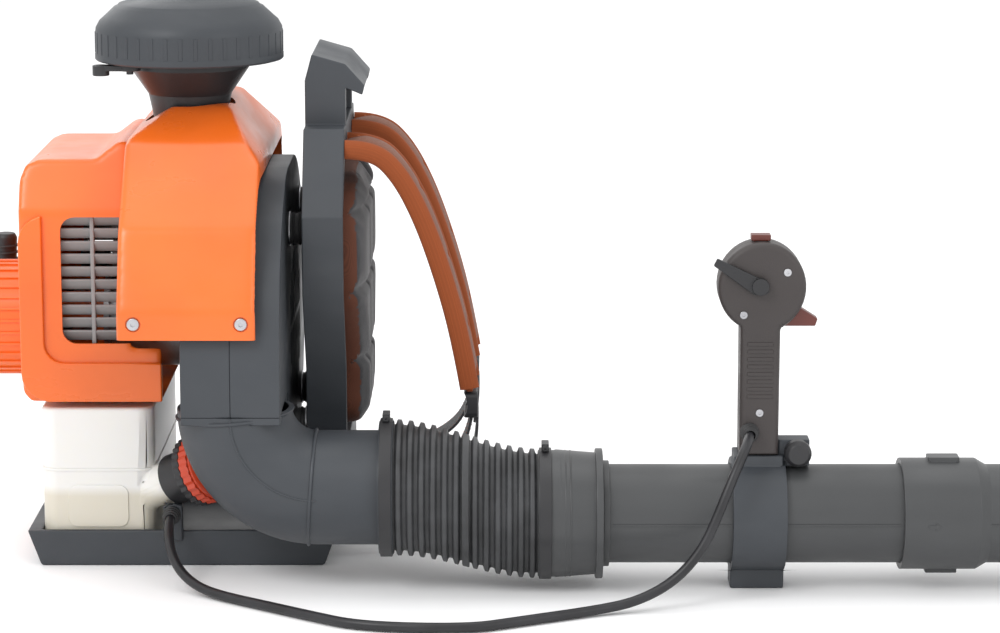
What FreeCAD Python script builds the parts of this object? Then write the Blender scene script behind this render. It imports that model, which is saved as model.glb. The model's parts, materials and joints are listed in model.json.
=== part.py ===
"""Petrol backpack leaf blower, standing on its base with its tube laid out in front.

Millimetres. +X points away from the wearer's back, along the blower tube. +Y is the
wearer's left. +Z is up. The origin is on the floor, in the middle of the base's underside.
"""
import FreeCAD, Part
import math
import os
import Sketcher

V = FreeCAD.Vector
X, Y, Z = V(1, 0, 0), V(0, 1, 0), V(0, 0, 1)
doc = FreeCAD.newDocument("Backpack_blower")
sheet = doc.addObject("Spreadsheet::Sheet", "Sizes")
NODES = {}


# ---------------------------------------------------------------- sizes and expressions
class Dim:
    """A size with the spreadsheet expression that gives it."""

    def __init__(self, value, text=None):
        self.value = float(value)
        self.text = text or repr(float(value))

    def join(self, other, sign, value):
        return Dim(value, f"({self.text} {sign} {dim(other).text})")

    def __add__(self, other):
        return self.join(other, "+", self.value + dim(other).value)

    def __sub__(self, other):
        return self.join(other, "-", self.value - dim(other).value)

    def __mul__(self, other):
        return self.join(other, "*", self.value * dim(other).value)

    def __truediv__(self, other):
        return self.join(other, "/", self.value / dim(other).value)

    def __radd__(self, other):
        return dim(other) + self

    def __rsub__(self, other):
        return dim(other) - self

    def __rmul__(self, other):
        return dim(other) * self

    def __neg__(self):
        return Dim(-self.value, f"(0 - {self.text})")


def dim(size):
    return size if isinstance(size, Dim) else Dim(size)


def number(size):
    return dim(size).value


def numbers(*sizes):
    return [number(size) for size in sizes]


def bind(thing, prop, size):
    """Gives a property its value, and ties it to the sheet where the size comes from there."""
    if "Sizes." in dim(size).text:
        thing.setExpression(prop, dim(size).text)
    elif prop.startswith("Placement.Base."):
        setattr(thing.Placement.Base, prop[-1], number(size))
    else:
        setattr(thing, prop, number(size))


def size(alias, value, note):
    """Writes one driving size in the sheet, as a plain number with an alias and a note."""
    row = size.rows = getattr(size, "rows", 0) + 1
    sheet.set(f"A{row}", str(value))
    sheet.setAlias(f"A{row}", alias)
    sheet.set(f"B{row}", note)
    return Dim(value, f"Sizes.{alias}")


# overall layout
crank_z = size("crank_height", 193, "crankshaft above the floor")
cyl_x = size("cylinder_place", -40, "cylinder axis, behind the origin")
tube_y = size("tube_place", -165, "outlet, hose and tube axis, on the wearer's right")
hose_z = size("hose_height", 82, "centre of the elbow's outlet above the floor")
pipe_z = size("pipe_height", 60, "axis of the blower tube above the floor")
wall = size("wall", 3, "wall of the moulded housings")
fit = size("fit_gap", 0.3, "gap between curved faces of neighbouring pieces")
running = size("running_gap", 0.05, "radial gap of a shaft in its bearing")
# base, backplate and harness
base_back = size("base_back", -143, "rear end of the base")
base_front = size("base_front", 118, "front end of the base")
base_half = size("base_half_width", 108, "half the width of the base")
base_top = size("base_height", 30, "top of the base's rim")
base_floor = size("base_floor", 6, "thickness of the base's floor")
foot_place_x = size("foot_spread_length", 112, "feet ahead of and behind the origin")
foot_place_y = size("foot_spread_width", 88, "feet either side of the middle")
foot_radius = size("foot_radius", 9, "stem of a rubber foot")
plate_depth = size("plate_depth", 34, "depth of the dished backplate")
plate_floor = size("plate_thickness", 6, "floor of the dished backplate")
plate_low_half = size("plate_waist_half", 88, "half width of the backplate beside the hose")
plate_high_half = size("plate_shoulder_half", 128, "half width of the backplate at the shoulders")
plate_top = size("plate_top", 368, "top edge of the backplate")
handle_top = size("lift_handle_top", 427, "top of the lifting handle")
pad_low = size("pad_low", 96, "lower edge of the backplate's dish")
pad_proud = size("pad_proud", 19, "back pad's reach beyond the backplate's rim")
strap_y = size("strap_place", 66, "shoulder strap's middle, either side")
strap_width = size("strap_width", 56, "padded width of a shoulder strap")
strap_thick = size("strap_thickness", 18, "thickness of a shoulder strap")
web_width = size("webbing_width", 38, "width of the lower webbing")
web_thick = size("webbing_thickness", 2.4, "thickness of the lower webbing")
# fan housing
fan_depth = size("fan_housing_depth", 80, "depth of the fan housing along the shaft")
fan_radius = size("fan_radius", 106, "radius of the fan")
fan_gap = size("fan_gap", 10, "gap between the fan and its housing's end walls")
eye_radius = size("eye_radius", 70, "radius of the air intake eye")
scroll_radius = size("scroll_radius", 126, "radius of the scroll's narrow half")
scroll_rise = size("scroll_rise", 140, "scroll's top above the crankshaft")
duct_width = size("duct_width", 90, "width of the outlet duct across the machine")
mount_length = size("mount_length", 14, "length of the rubber vibration mounts")
mount_radius = size("mount_radius", 13, "radius of the rubber vibration mounts")
elbow_bend = size("elbow_bend", 68, "bend radius of the outlet elbow")
duct_foot = hose_z + elbow_bend
elbow_radius = size("elbow_radius", 47, "outer radius of the outlet elbow")
elbow_end = size("elbow_end", 168, "front end of the outlet elbow")
# hose and tube
hose_back_radius = size("hose_back_radius", 56, "outer radius of the hose at the elbow")
hose_front_radius = size("hose_front_radius", 53, "outer radius of the hose at the cuff")
hose_wall = size("hose_wall", 5, "depth of the hose's corrugated wall")
hose_half = size("hose_half", 56, "length of each flexible half of the hose")
ring_width = size("ring_width", 6, "width of the stiff ring between the halves")
cuff_length = size("cuff_length", 53, "length of the swivel cuff")
pipe_radius = size("pipe_radius", 40.5, "outer radius of the blower tube")
pipe_wall = size("pipe_wall", 2.5, "wall of the blower tube")
pipe_lap = size("pipe_lap", 48, "overlap of a tube in the next one's socket")
pipe_back = size("pipe_back", 300, "rear end of the swivel pipe, in the cuff")
socket_one = size("first_socket", 583, "start of the extension pipe's socket")
socket_two = size("second_socket", 850, "start of the nozzle's socket")
nozzle_end = size("nozzle_end", 1150, "outlet of the nozzle")
nozzle_radius = size("nozzle_radius", 34, "outer radius of the nozzle's outlet")
nozzle_land = size("nozzle_land", 64, "straight length at the nozzle's outlet")
# engine
bore = size("bore_radius", 22, "radius of the cylinder's bore")
stroke = size("stroke", 32, "stroke of the piston")
rod_length = size("rod_length", 64, "connecting rod between its pins")
case_half = size("crankcase_half_length", 38, "half the crankcase along the shaft")
case_radius = size("crankcase_radius", 42, "radius of the crankcase")
web_radius = size("crank_web_radius", 31, "radius of the crankshaft's webs")
shaft_radius = size("shaft_radius", 7.5, "radius of the crankshaft in its bearings")
bearing_radius = size("bearing_radius", 17.5, "outer radius of the main bearings")
bearing_width = size("bearing_width", 11, "width of the main bearings")
head_top = crank_z + size("cylinder_rise", 132, "top of the cylinder above the crankshaft")
fin_half = size("fin_half_width", 44, "half the width of the cooling fins")
flywheel_radius = size("flywheel_radius", 44, "radius of the flywheel")
flywheel_width = size("flywheel_width", 22, "width of the flywheel")
carb_z = crank_z + size("carburettor_rise", 91, "underside of the carburettor above the crankshaft")
carb_y = size("carburettor_place", -70, "carburettor's bore, on the wearer's right")
# air filter and covers
filter_x = size("filter_place", -6, "air filter's centre along the machine")
filter_y = size("filter_side", -35, "air filter's centre across the machine")
filter_z = crank_z + size("filter_rise", 227, "underside of the air filter's base above the crankshaft")
filter_neck = size("filter_neck", 52, "length of the air filter's neck below its base")
filter_radius = size("filter_radius", 79, "radius of the air filter's cover")
filter_top = filter_z + size("filter_height", 54, "height of the air filter above its base's underside")
cover_back = size("cover_back", -52, "rear edge of the engine cover")
cover_front = size("cover_front", 60, "front edge of the engine cover")
cover_top = crank_z + size("cover_rise", 193, "top of the engine cover above the crankshaft")
cover_right = size("cover_right", -216, "engine cover's outside on the tube's side")
cover_left = size("cover_left", 152, "engine cover's outside on the far side")
rear_back = size("rear_cover_back", -145, "rear face of the rear cover")
rear_half = size("rear_cover_half", 105, "half the width of the rear cover")
rear_low = crank_z - size("rear_cover_drop", 54, "lower edge of the rear cover below the crankshaft")
rear_lip = size("rear_cover_lip", 26, "reach of the rear cover's lower lip under the engine cover")
rear_high = crank_z + size("rear_cover_rise", 149, "upper edge of the rear cover above the crankshaft")
hub_back = size("hub_back", -198, "rearmost face of the starter housing")
hub_radius = size("hub_radius", 48, "radius of the starter housing's drum")
housing_radius = size("starter_housing_radius", 50, "starter housing around the flywheel")
pulley_radius = size("pulley_radius", 30, "radius of the starter pulley")
# fuel tank
tank_back = size("tank_back", -131, "rear end of the fuel tank")
tank_front = size("tank_front", -36, "front end of the fuel tank")
tank_half = size("tank_half_width", 100, "half the width of the fuel tank")
tank_top = rear_low - size("tank_gap", 5, "gap between the fuel tank and the rear cover")
cap_radius = size("cap_radius", 30, "radius of the fuel cap")
# handle
grip_x = size("grip_place", 466, "handle's axis along the tube")
grip_half = size("grip_half", 16, "half the thickness of the handle")
clamp_half = size("clamp_half", 22, "half the length of the handle's clamp")
clamp_wall = size("clamp_wall", 6, "wall of the handle's clamp ring")
clamp_radius = pipe_radius + fit + clamp_wall
stalk_foot = pipe_z + clamp_radius + size("stalk_seat", 5.2, "handle's stalk above the clamp ring")
head_low = size("head_low", 214, "lower edge of the handle's head")
head_high = size("head_high", 288, "top of the handle's head")
cable_radius = size("cable_radius", 4, "radius of the throttle cable")

fan_back = cyl_x + case_half
fan_front = fan_back + fan_depth
plate_back = fan_front + mount_length
plate_front = plate_back + plate_depth


# ---------------------------------------------------------------- building blocks
AXIS_TURN = {"x": FreeCAD.Rotation(), "y": FreeCAD.Rotation(Z, 90), "z": FreeCAD.Rotation(Y, -90)}
CYLINDER_TURN = {"x": FreeCAD.Rotation(Y, 90), "y": FreeCAD.Rotation(X, -90), "z": FreeCAD.Rotation()}
PLANE_AXIS = {"XY": "z", "XZ": "y", "YZ": "x"}


def put(thing, place, turn=None):
    """Places an object at a point whose coordinates may be tied to the sheet."""
    thing.Placement = FreeCAD.Placement(V(*numbers(*place)), turn or FreeCAD.Rotation())
    for letter, coordinate in zip("xyz", place):
        if "Sizes." in dim(coordinate).text:
            thing.setExpression(f"Placement.Base.{letter}", dim(coordinate).text)
    return thing


def node(name, thing):
    """Names an object as one sub-part of the machine, written to its own file."""
    thing.Label = name
    NODES[name] = thing
    return thing


def box(low, high):
    block = doc.addObject("Part::Box", "box")
    for prop, start, end in zip(("Length", "Width", "Height"), low, high):
        bind(block, prop, dim(end) - start)
    return put(block, low)


def rod(axis, start, length, radius):
    """A round bar from a point, along an axis name or a direction."""
    bar = doc.addObject("Part::Cylinder", "rod")
    bind(bar, "Radius", radius)
    bind(bar, "Height", length)
    turn = CYLINDER_TURN[axis] if isinstance(axis, str) else FreeCAD.Rotation(Z, axis)
    return put(bar, start, turn)


def fuse(*pieces):
    joined = doc.addObject("Part::MultiFuse", "fuse")
    joined.Shapes = list(pieces)
    joined.Refine = True
    return joined


def cut(base, *tools):
    carved = doc.addObject("Part::Cut", "cut")
    carved.Base = base
    carved.Tool = tools[0] if len(tools) == 1 else fuse(*tools)
    carved.Refine = True
    return carved


def common(one, other):
    shared = doc.addObject("Part::Common", "common")
    shared.Base = one
    shared.Tool = other
    shared.Refine = True
    return shared


def group(pieces):
    """Several separate solids that share one node, such as a set of screws."""
    held = doc.addObject("Part::Compound", "group")
    held.Links = list(pieces)
    return held


def rounded(base, radius, direction):
    """Rounds the straight edges that run along one direction."""
    doc.recompute()
    chosen = []
    for index, edge in enumerate(base.Shape.Edges, 1):
        straight = edge.Curve.TypeId == "Part::GeomLine"
        if straight and abs(edge.tangentAt(edge.FirstParameter) * direction) > 0.999:
            chosen.append((index, number(radius), number(radius)))
    soft = doc.addObject("Part::Fillet", "rounded")
    soft.Base = base
    soft.Edges = chosen
    return soft


def sketch(body, plane, points):
    """A closed outline with every corner placed from the origin."""
    drawing = body.newObject("Sketcher::SketchObject", "outline")
    support = [f for f in body.Origin.OriginFeatures if f.Role == f"{plane}_Plane"][0]
    drawing.AttachmentSupport = [(support, "")]
    drawing.MapMode = "FlatFace"
    corners = [V(*numbers(*point), 0) for point in points]
    for index, corner in enumerate(corners):
        following = corners[(index + 1) % len(corners)]
        drawing.addGeometry(Part.LineSegment(corner, following), False)
    for index in range(len(corners)):
        drawing.addConstraint(Sketcher.Constraint("Coincident", index, 2, (index + 1) % len(corners), 1))
    for index, point in enumerate(points):
        for kind, coordinate in zip(("DistanceX", "DistanceY"), point):
            rule = Sketcher.Constraint(kind, -1, 1, index, 1, number(coordinate))
            place = drawing.addConstraint(rule)
            if "Sizes." in dim(coordinate).text:
                drawing.setExpression(f"Constraints[{place}]", dim(coordinate).text)
    return drawing


def prism(plane, points, low, high):
    """An outline on a plane, padded from low to high across it."""
    body = doc.addObject("PartDesign::Body", "prism")
    pad = body.newObject("PartDesign::Pad", "pad")
    pad.Profile = sketch(body, plane, points)
    bind(pad, "Length", dim(high) - low)
    start = {"YZ": (low, 0, 0), "XZ": (0, high, 0), "XY": (0, 0, low)}[plane]
    return put(body, start)


def turned(axis, centre, points):
    """A solid of revolution: points are (along the axis from the centre, radius)."""
    body = doc.addObject("PartDesign::Body", "turned")
    drawing = sketch(body, "XZ", points)
    spin = body.newObject("PartDesign::Revolution", "spin")
    spin.Profile = drawing
    spin.ReferenceAxis = (drawing, ["H_Axis"])
    spin.Angle = 360
    turn = AXIS_TURN[axis] if isinstance(axis, str) else FreeCAD.Rotation(X, axis)
    return put(body, centre, turn)


def ring(axis, centre, low, high, radius, inner):
    """A turned ring from low to high along its axis."""
    return turned(axis, centre, [(low, inner), (high, inner), (high, radius), (low, radius)])


def shaped(shape, name="form"):
    """A solid made with Part's own functions from sizes read from the sheet."""
    form = doc.addObject("Part::Feature", name)
    form.Shape = shape
    return form


def loft(circles):
    """A round body through circles given as (centre, radius), all square to +X or +Z."""
    direction = X if abs(circles[0][0].x - circles[-1][0].x) > abs(circles[0][0].z - circles[-1][0].z) else Z
    wires = [Part.Wire(Part.makeCircle(radius, centre, direction)) for centre, radius in circles]
    return Part.makeLoft(wires, True, False)


def polyline_face(points):
    return Part.Face(Part.makePolygon([*points, points[0]]))


def ribbon(points, thickness, width, middle):
    """A strap: a path in the XZ plane, thickened evenly and drawn out across the machine."""
    half = thickness / 2
    sides = ([], [])
    runs = [(V(*after) - V(*point)).normalize() for point, after in zip(points, points[1:])]
    for point, one, two in zip(points, [runs[0], *runs], [*runs, runs[-1]]):
        across = V(-(one.z + two.z), 0, one.x + two.x).normalize()
        reach = half / across.dot(V(-one.z, 0, one.x))
        sides[0].append(V(*point) + across * reach)
        sides[1].append(V(*point) - across * reach)
    face = polyline_face([*sides[0], *reversed(sides[1])])
    face.translate(V(0, middle - width / 2, 0))
    return face.extrude(V(0, width, 0))


def cord_wire(points, name):
    """Straight runs joined by arcs as large as the shorter run of each corner allows."""
    edges = []
    radii = []
    start = points[0]
    for before, corner, after in zip(points, points[1:], points[2:]):
        come, leave = corner - before, after - corner
        turn = come.getAngle(leave)
        reach = 0.45 * min(come.Length, leave.Length)
        radius = reach / math.tan(turn / 2)
        radii.append(round(radius, 1))
        come.normalize()
        leave.normalize()
        first, last = corner - come * reach, corner + leave * reach
        inward = (leave - come).normalize()
        middle = corner + inward * (radius / math.cos(turn / 2) - radius)
        edges.append(Part.LineSegment(start, first).toShape())
        edges.append(Part.Arc(first, middle, last).toShape())
        start = last
    edges.append(Part.LineSegment(start, points[-1]).toShape())
    wire = Part.Wire(edges)
    print(name, "length", round(wire.Length, 1), "radii", radii)
    return wire


def cord_tube(points, radius, name):
    """The plain round solid of a cord, its volume compared with its section times its length."""
    wire = cord_wire(points, name)
    direction = points[1] - points[0]
    section = Part.Wire(Part.makeCircle(radius, points[0], direction))
    solid = wire.makePipeShell([section], True, True)
    ratio = solid.Volume / (math.pi * radius ** 2 * wire.Length)
    if abs(ratio - 1) > 0.01:
        raise ValueError(f"{name} sweeps to {ratio:.3f} of its true volume")
    return solid


# ---------------------------------------------------------------- base, backplate and harness
def make_base():
    slope = 11
    outline = [(base_back, base_top), (base_back + slope, 0), (base_front - slope, 0), (base_front, base_top)]
    tray = prism("XZ", outline, -base_half, base_half)
    side = 6
    ledge = plate_back - 4
    hollow = box((base_back + 2 * side, -base_half + side, base_floor),
                 (ledge, base_half - side, base_top + 1))
    gland_post = box((-28, -base_half - 4, base_top - 8), (-12, -base_half + side, base_top + 23))
    holes = [rod("z", (x, y, -1), base_floor + 2, foot_radius + fit) for x, y in foot_places()]
    gland = ring("y", (-20, -base_half - 10, base_top + 16), 0, 8, cable_radius + 2.5, cable_radius - 2)
    node("base_frame", fuse(cut(fuse(tray, gland_post), hollow, *holes), gland))


def foot_places():
    return [(x, y) for x in (-foot_place_x, foot_place_x - 36) for y in (-foot_place_y, foot_place_y)]


def make_feet():
    """Rubber plugs pressed through the base's floor, flush with its underside."""
    feet = []
    for x, y in foot_places():
        flange = (base_floor, base_floor + 3)
        points = [(0, 0), (0, foot_radius), (flange[0], foot_radius), (flange[0], foot_radius + 3)]
        points += [(flange[1], foot_radius + 3), (flange[1], 0)]
        feet.append(turned("z", (x, y, 0), points))
    node("base_feet", group(feet))


def plate_outline(inset, low, high):
    low_half, high_half = plate_low_half - inset, plate_high_half - inset
    side = [(low_half, low), (low_half, 165), (high_half, 235), (high_half, 300), (high_half - 40, high)]
    return side + [(-y, z) for y, z in reversed(side)]


def make_backplate():
    """The dished backplate, its webbing anchors and the hooked lifting handle above it."""
    rim = 5
    dish_top = plate_top - 28
    blank = prism("YZ", plate_outline(0, base_top, plate_top), plate_back, plate_front)
    dish = prism("YZ", plate_outline(rim, pad_low, dish_top), plate_back + plate_floor, plate_front + 1)
    lightening = box((plate_back - 1, rim - plate_low_half, base_top + rim),
                     (plate_front - plate_floor, plate_low_half - rim, pad_low - plate_floor))
    arm = [(plate_back, plate_top - 20), (plate_back, handle_top - 22), (plate_back + 6, handle_top)]
    arm += [(plate_back + 34, handle_top - 8), (plate_back + 50, handle_top - 26)]
    arm += [(plate_back + 48, handle_top - 34), (plate_back + 34, handle_top - 28)]
    arm += [(plate_front, plate_top - 20)]
    handle = prism("XZ", arm, -62, 62)
    hand_gap = box((plate_back - 1, -50, plate_top), (plate_front + 20, 50, handle_top - 28))
    anchors = []
    for side in (-1, 1):
        middle = side * strap_y
        anchors.append(box((plate_front - 1, middle - 23, 46), (plate_front + 10, middle + 23, 62)))
    vents = [box((plate_back - 1, y, 190), (plate_back + plate_floor + 1, y + 14, 260))
             for y in (-50, -22, 8, 36)]
    node("backplate", cut(fuse(blank, cut(handle, hand_gap), *anchors), dish, lightening, *vents))


def make_pad():
    """The foam back pad, in the backplate's dish and proud of its rim."""
    inset = 8
    outline = plate_outline(inset, pad_low + 3, plate_top - 28 - 3)
    pad = prism("YZ", outline, plate_back + plate_floor + fit, plate_front + pad_proud)
    node("back_pad", rounded(pad, 9, X))


def strap_path():
    """The padded strap's middle line: up from the backplate, over and down to its webbing."""
    anchor = number(plate_front + fit)
    return [(anchor, 0, 351), (150, 0, 351), (172, 0, 330), (191, 0, 293), (208, 0, 244), (222, 0, 192),
            (230, 0, 146)]


def make_straps():
    for name, side in (("shoulder_strap_right", -1), ("shoulder_strap_left", 1)):
        strap = ribbon(strap_path(), number(strap_thick), number(strap_width), side * number(strap_y))
        node(name, shaped(strap, name))
    webs, buckles = [], []
    anchor = number(plate_front) + 10 + number(fit)
    for side in (-1, 1):
        middle = side * number(strap_y)
        route = [(231, 0, 122), (226, 0, 96), (204, 0, 74), (168, 0, 60), (anchor, 0, 54)]
        webs.append(shaped(ribbon(route, number(web_thick), number(web_width), middle)))
        low = (224, side * strap_y - web_width / 2 - 5, 122.3)
        buckles.append(box(low, (237, side * strap_y + web_width / 2 + 5, 143)))
    node("harness_webbing", group(webs + buckles))


def make_mounts():
    places = [(y, z) for y in (-72, 72) for z in (crank_z - 78, crank_z + 89)]
    mounts = [rod("x", (fan_front, y, z), mount_length, mount_radius) for y, z in places]
    node("vibration_mounts", group(mounts))


# ---------------------------------------------------------------- fan housing and outlet
def scroll_face(inset):
    """The fan housing's outline: a scroll that opens into a duct on the wearer's right."""
    centre = number(crank_z)
    narrow = number(scroll_radius)
    top = centre + number(scroll_rise) - inset
    outer_y = number(tube_y - duct_width / 2) + inset
    inner_y = number(tube_y + duct_width / 2) - inset
    foot = number(duct_foot) - (1 if inset else 0)
    low_z = centre + 8
    far_radius = top + inset - low_z
    far_y = far_radius
    big = 150 - inset
    near = V(0, outer_y, top - big)
    over = V(0, outer_y + big, top)
    halfway = V(0, outer_y + big, top - big) + V(0, -1, 1).normalize() * big
    crown = V(0, 0, top)
    far = V(0, far_y - inset, low_z)
    small = narrow - inset
    hub = V(0, far_y - narrow, low_z)
    bottom = hub + V(0, 0, -small)
    tip_z = foot + 14 if inset else foot
    tip = V(0, hub.y - math.sqrt(small ** 2 - (low_z - tip_z) ** 2), tip_z)
    lower = hub + V(0, -small * math.sin(math.radians(35)), -small * math.cos(math.radians(35)))
    edges = [
        Part.LineSegment(V(0, outer_y, foot), near).toShape(),
        Part.Arc(near, halfway, over).toShape(),
        Part.LineSegment(over, crown).toShape(),
        Part.Arc(crown, V(0, 0, low_z) + V(0, 1, 1).normalize() * (far_radius - inset), far).toShape(),
        Part.Arc(far, hub + V(0, 1, -1).normalize() * small, bottom).toShape(),
        Part.Arc(bottom, lower, tip).toShape(),
    ]
    corner = V(0, inner_y, foot)
    if (tip - corner).Length > 0.01:
        edges.append(Part.LineSegment(tip, corner).toShape())
    edges.append(Part.LineSegment(corner, V(0, outer_y, foot)).toShape())
    return Part.Face(Part.Wire(edges))


def scroll_form(inset, low, high):
    face = scroll_face(inset)
    face.translate(V(number(low), 0, 0))
    return shaped(face.extrude(V(number(high - low), 0, 0)))


SCREW_EARS = [(-60, 145), (66, 128), (137, -8), (88, -96), (-70.5, -99), (-175.7, 93.9)]


def ear_places():
    return [(y, crank_z + z) for y, z in SCREW_EARS]


def make_fan_housing():
    split = fan_back + fan_depth / 2
    flange = 8
    rear_ears = [rod("x", (split - flange, y, z), flange, 8) for y, z in ear_places()]
    rear = fuse(scroll_form(0, fan_back, split), *rear_ears)
    rear_holes = [rod("x", (split - flange - 1, y, z), flange + 2, 2.3) for y, z in ear_places()]
    shaft_hole = rod("x", (fan_back - 1, 0, crank_z), 10, shaft_radius + 4)
    rear_room = scroll_form(number(wall), fan_back + wall, split + 1)
    node("fan_housing_rear", cut(rear, rear_room, shaft_hole, *rear_holes))
    front_ears = [rod("x", (split, y, z), flange, 8) for y, z in ear_places()]
    front = fuse(scroll_form(0, split, fan_front), *front_ears)
    front_holes = [rod("x", (split - 1, y, z), flange + 2, 2.3) for y, z in ear_places()]
    node("fan_housing_front", cut(front, scroll_form(number(wall), split - 1, fan_front - wall), *front_holes,
                                  *intake_slots()))
    screws = []
    for y, z in ear_places():
        shank = (split - flange, split + flange)
        head = split + flange + 3
        profile = [(shank[0], 0), (shank[0], 2.2), (shank[1], 2.2), (shank[1], 4.2), (head, 4.2), (head, 0)]
        screws.append(turned("x", (0, y, z), profile))
    return screws


def intake_slots():
    """The intake's upright slots in the housing's front wall, either side of a middle bar."""
    pitch, slot = 12, 7
    slots = []
    for index in range(-5, 6):
        side = index * pitch
        half = math.sqrt((number(eye_radius) - 3) ** 2 - side ** 2)
        for low, high in ((3, half), (-half, -3)):
            corner = (fan_front - 10, side - slot / 2, crank_z + low)
            slots.append(box(corner, (fan_front + 1, side + slot / 2, crank_z + high)))
    return slots


def bend(radius):
    """The elbow's bent run: down out of the duct, then forward to the hose."""
    low, high = number(hose_z), number(hose_z + elbow_bend)
    across = number(tube_y)
    start = number(fan_back + fan_depth / 2)
    turn = number(elbow_bend)
    middle = V(start + turn * (1 - math.sqrt(0.5)), across, high - turn * math.sqrt(0.5))
    path = Part.Wire([
        Part.Arc(V(start, across, high), middle, V(start + turn, across, low)).toShape(),
        Part.LineSegment(V(start + turn, across, low), V(number(elbow_end), across, low)).toShape(),
    ])
    section = Part.Wire(Part.makeCircle(radius, V(start, across, high), -Z))
    return shaped(path.makePipeShell([section], True, True))


def make_elbow():
    """The outlet elbow, from the duct's flange to the collar that carries the hose."""
    duct = duct_width / 2
    flange = box((fan_back, tube_y - duct, duct_foot - 6), (fan_front, tube_y + duct, duct_foot))
    inner = elbow_radius - wall
    collar = rod("x", (elbow_end - 12, tube_y, hose_z), 12, hose_back_radius - 1)
    bore_hole = rod("x", (elbow_end - 13, tube_y, hose_z), 14, inner)
    mouth = rod("z", (fan_back + fan_depth / 2, tube_y, duct_foot - 7), 8, fan_depth / 2 - wall)
    body = fuse(bend(number(elbow_radius)), flange, collar)
    node("outlet_elbow", cut(body, bend(number(inner)), bore_hole, mouth))


# ---------------------------------------------------------------- hose and blower tube
def hose_points(inset):
    """The hose's centre line and radius at its two ends and its middle ring."""
    back = number(elbow_end)
    middle = back + number(hose_half)
    front = middle + number(ring_width) + number(hose_half)
    span = front - back
    drop = number(hose_z - pipe_z)
    points = []
    for place in (back, back + number(hose_half) / 2, middle, middle + number(ring_width),
                  front - number(hose_half) / 2, front):
        share = (place - back) / span
        ease = share * share * (3 - 2 * share)
        radius = number(hose_back_radius) + share * number(hose_front_radius - hose_back_radius)
        points.append((V(place, number(tube_y), number(hose_z) - drop * ease), radius - inset))
    return points


def hose_piece(first, last):
    outer, inner = hose_points(0), hose_points(number(hose_wall))
    return loft(outer[first:last]).cut(loft(inner[first:last]))


def make_hose():
    node("hose_rear", shaped(hose_piece(0, 3)))
    node("hose_middle_ring", shaped(hose_piece(2, 4)))
    node("hose_front", shaped(hose_piece(3, 6)))
    band, screw, grip = 10, 7, -0.95
    rear = ring("x", (elbow_end - 11, tube_y, hose_z), 0, band, hose_back_radius + 1, hose_back_radius + grip)
    lug = box((elbow_end - 9, tube_y - 8, hose_z + hose_back_radius + 0.5),
              (elbow_end - 3, tube_y + 8, hose_z + hose_back_radius + screw))
    node("hose_clamp_rear", fuse(rear, lug))
    front = ring("x", (cuff_back + 1, tube_y, pipe_z), 0, band,
                 hose_front_radius + 1, hose_front_radius + grip)
    lug = box((cuff_back + 3, tube_y - 8, pipe_z + hose_front_radius + 0.5),
              (cuff_back + 9, tube_y + 8, pipe_z + hose_front_radius + screw))
    node("hose_clamp_front", fuse(front, lug))


cuff_back = elbow_end + hose_half * 2 + ring_width
cuff_front = cuff_back + cuff_length


def make_cuff():
    """The stiff cuff in which the blower tube swivels, with its dark end ring."""
    radius = hose_front_radius - 1
    inner = pipe_radius + fit
    points = [(0, inner), (0, radius), (13, radius), (15, radius + 0.5), (cuff_length - 6, radius - 2)]
    points += [(cuff_length - 6, radius + 1.5), (cuff_length, radius + 1.5), (cuff_length, inner)]
    node("swivel_cuff", turned("x", (cuff_back, tube_y, pipe_z), points))


def socket_profile(length, end, end_radius, land):
    """A tube with a socket at its rear end, for the tube behind it."""
    outer, inside = pipe_radius + fit + 2 * pipe_wall, pipe_radius + fit
    neck = pipe_lap + 2
    points = [(0, inside), (0, outer), (length, outer), (length + 9, pipe_radius)]
    points += [(end - land, end_radius), (end, end_radius)] if land else [(end, end_radius)]
    points += [(end, end_radius - pipe_wall)]
    if land:
        points += [(end - land, end_radius - pipe_wall)]
    return points + [(neck, pipe_radius - pipe_wall), (neck, inside)]


def make_pipes():
    centre = (0, tube_y, pipe_z)
    collar = pipe_radius + 3
    stop = cuff_front + fit
    first_end = socket_one + pipe_lap
    inner = pipe_radius - pipe_wall
    swivel = [(pipe_back, inner), (pipe_back, pipe_radius), (stop, pipe_radius), (stop, collar)]
    swivel += [(stop + 5, collar), (stop + 5, pipe_radius), (first_end, pipe_radius), (first_end, inner)]
    node("swivel_pipe", turned("x", centre, swivel))
    socket = pipe_lap + 14
    length = socket_two + pipe_lap - socket_one
    extension = turned("x", (socket_one, tube_y, pipe_z), socket_profile(socket, length, pipe_radius, 0))
    node("extension_pipe", fuse(extension, *lock_bumps(socket_one + 35)))
    length = nozzle_end - socket_two
    profile = socket_profile(socket, length, nozzle_radius, nozzle_land)
    nozzle = turned("x", (socket_two, tube_y, pipe_z), profile)
    node("nozzle", fuse(nozzle, *lock_bumps(socket_two + 35)))


def lock_bumps(place):
    """The bayonet's raised housings, on top of and under a socket."""
    outer = pipe_radius + fit + 2 * pipe_wall
    bumps = []
    for side in (1, -1):
        base = outer - 1.5 if side > 0 else -outer - 3
        low = (place - 13, tube_y - 8, pipe_z + base)
        bumps.append(rounded(box(low, (place + 13, tube_y + 8, pipe_z + base + 4.5)), 2, Z))
    return bumps


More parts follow.
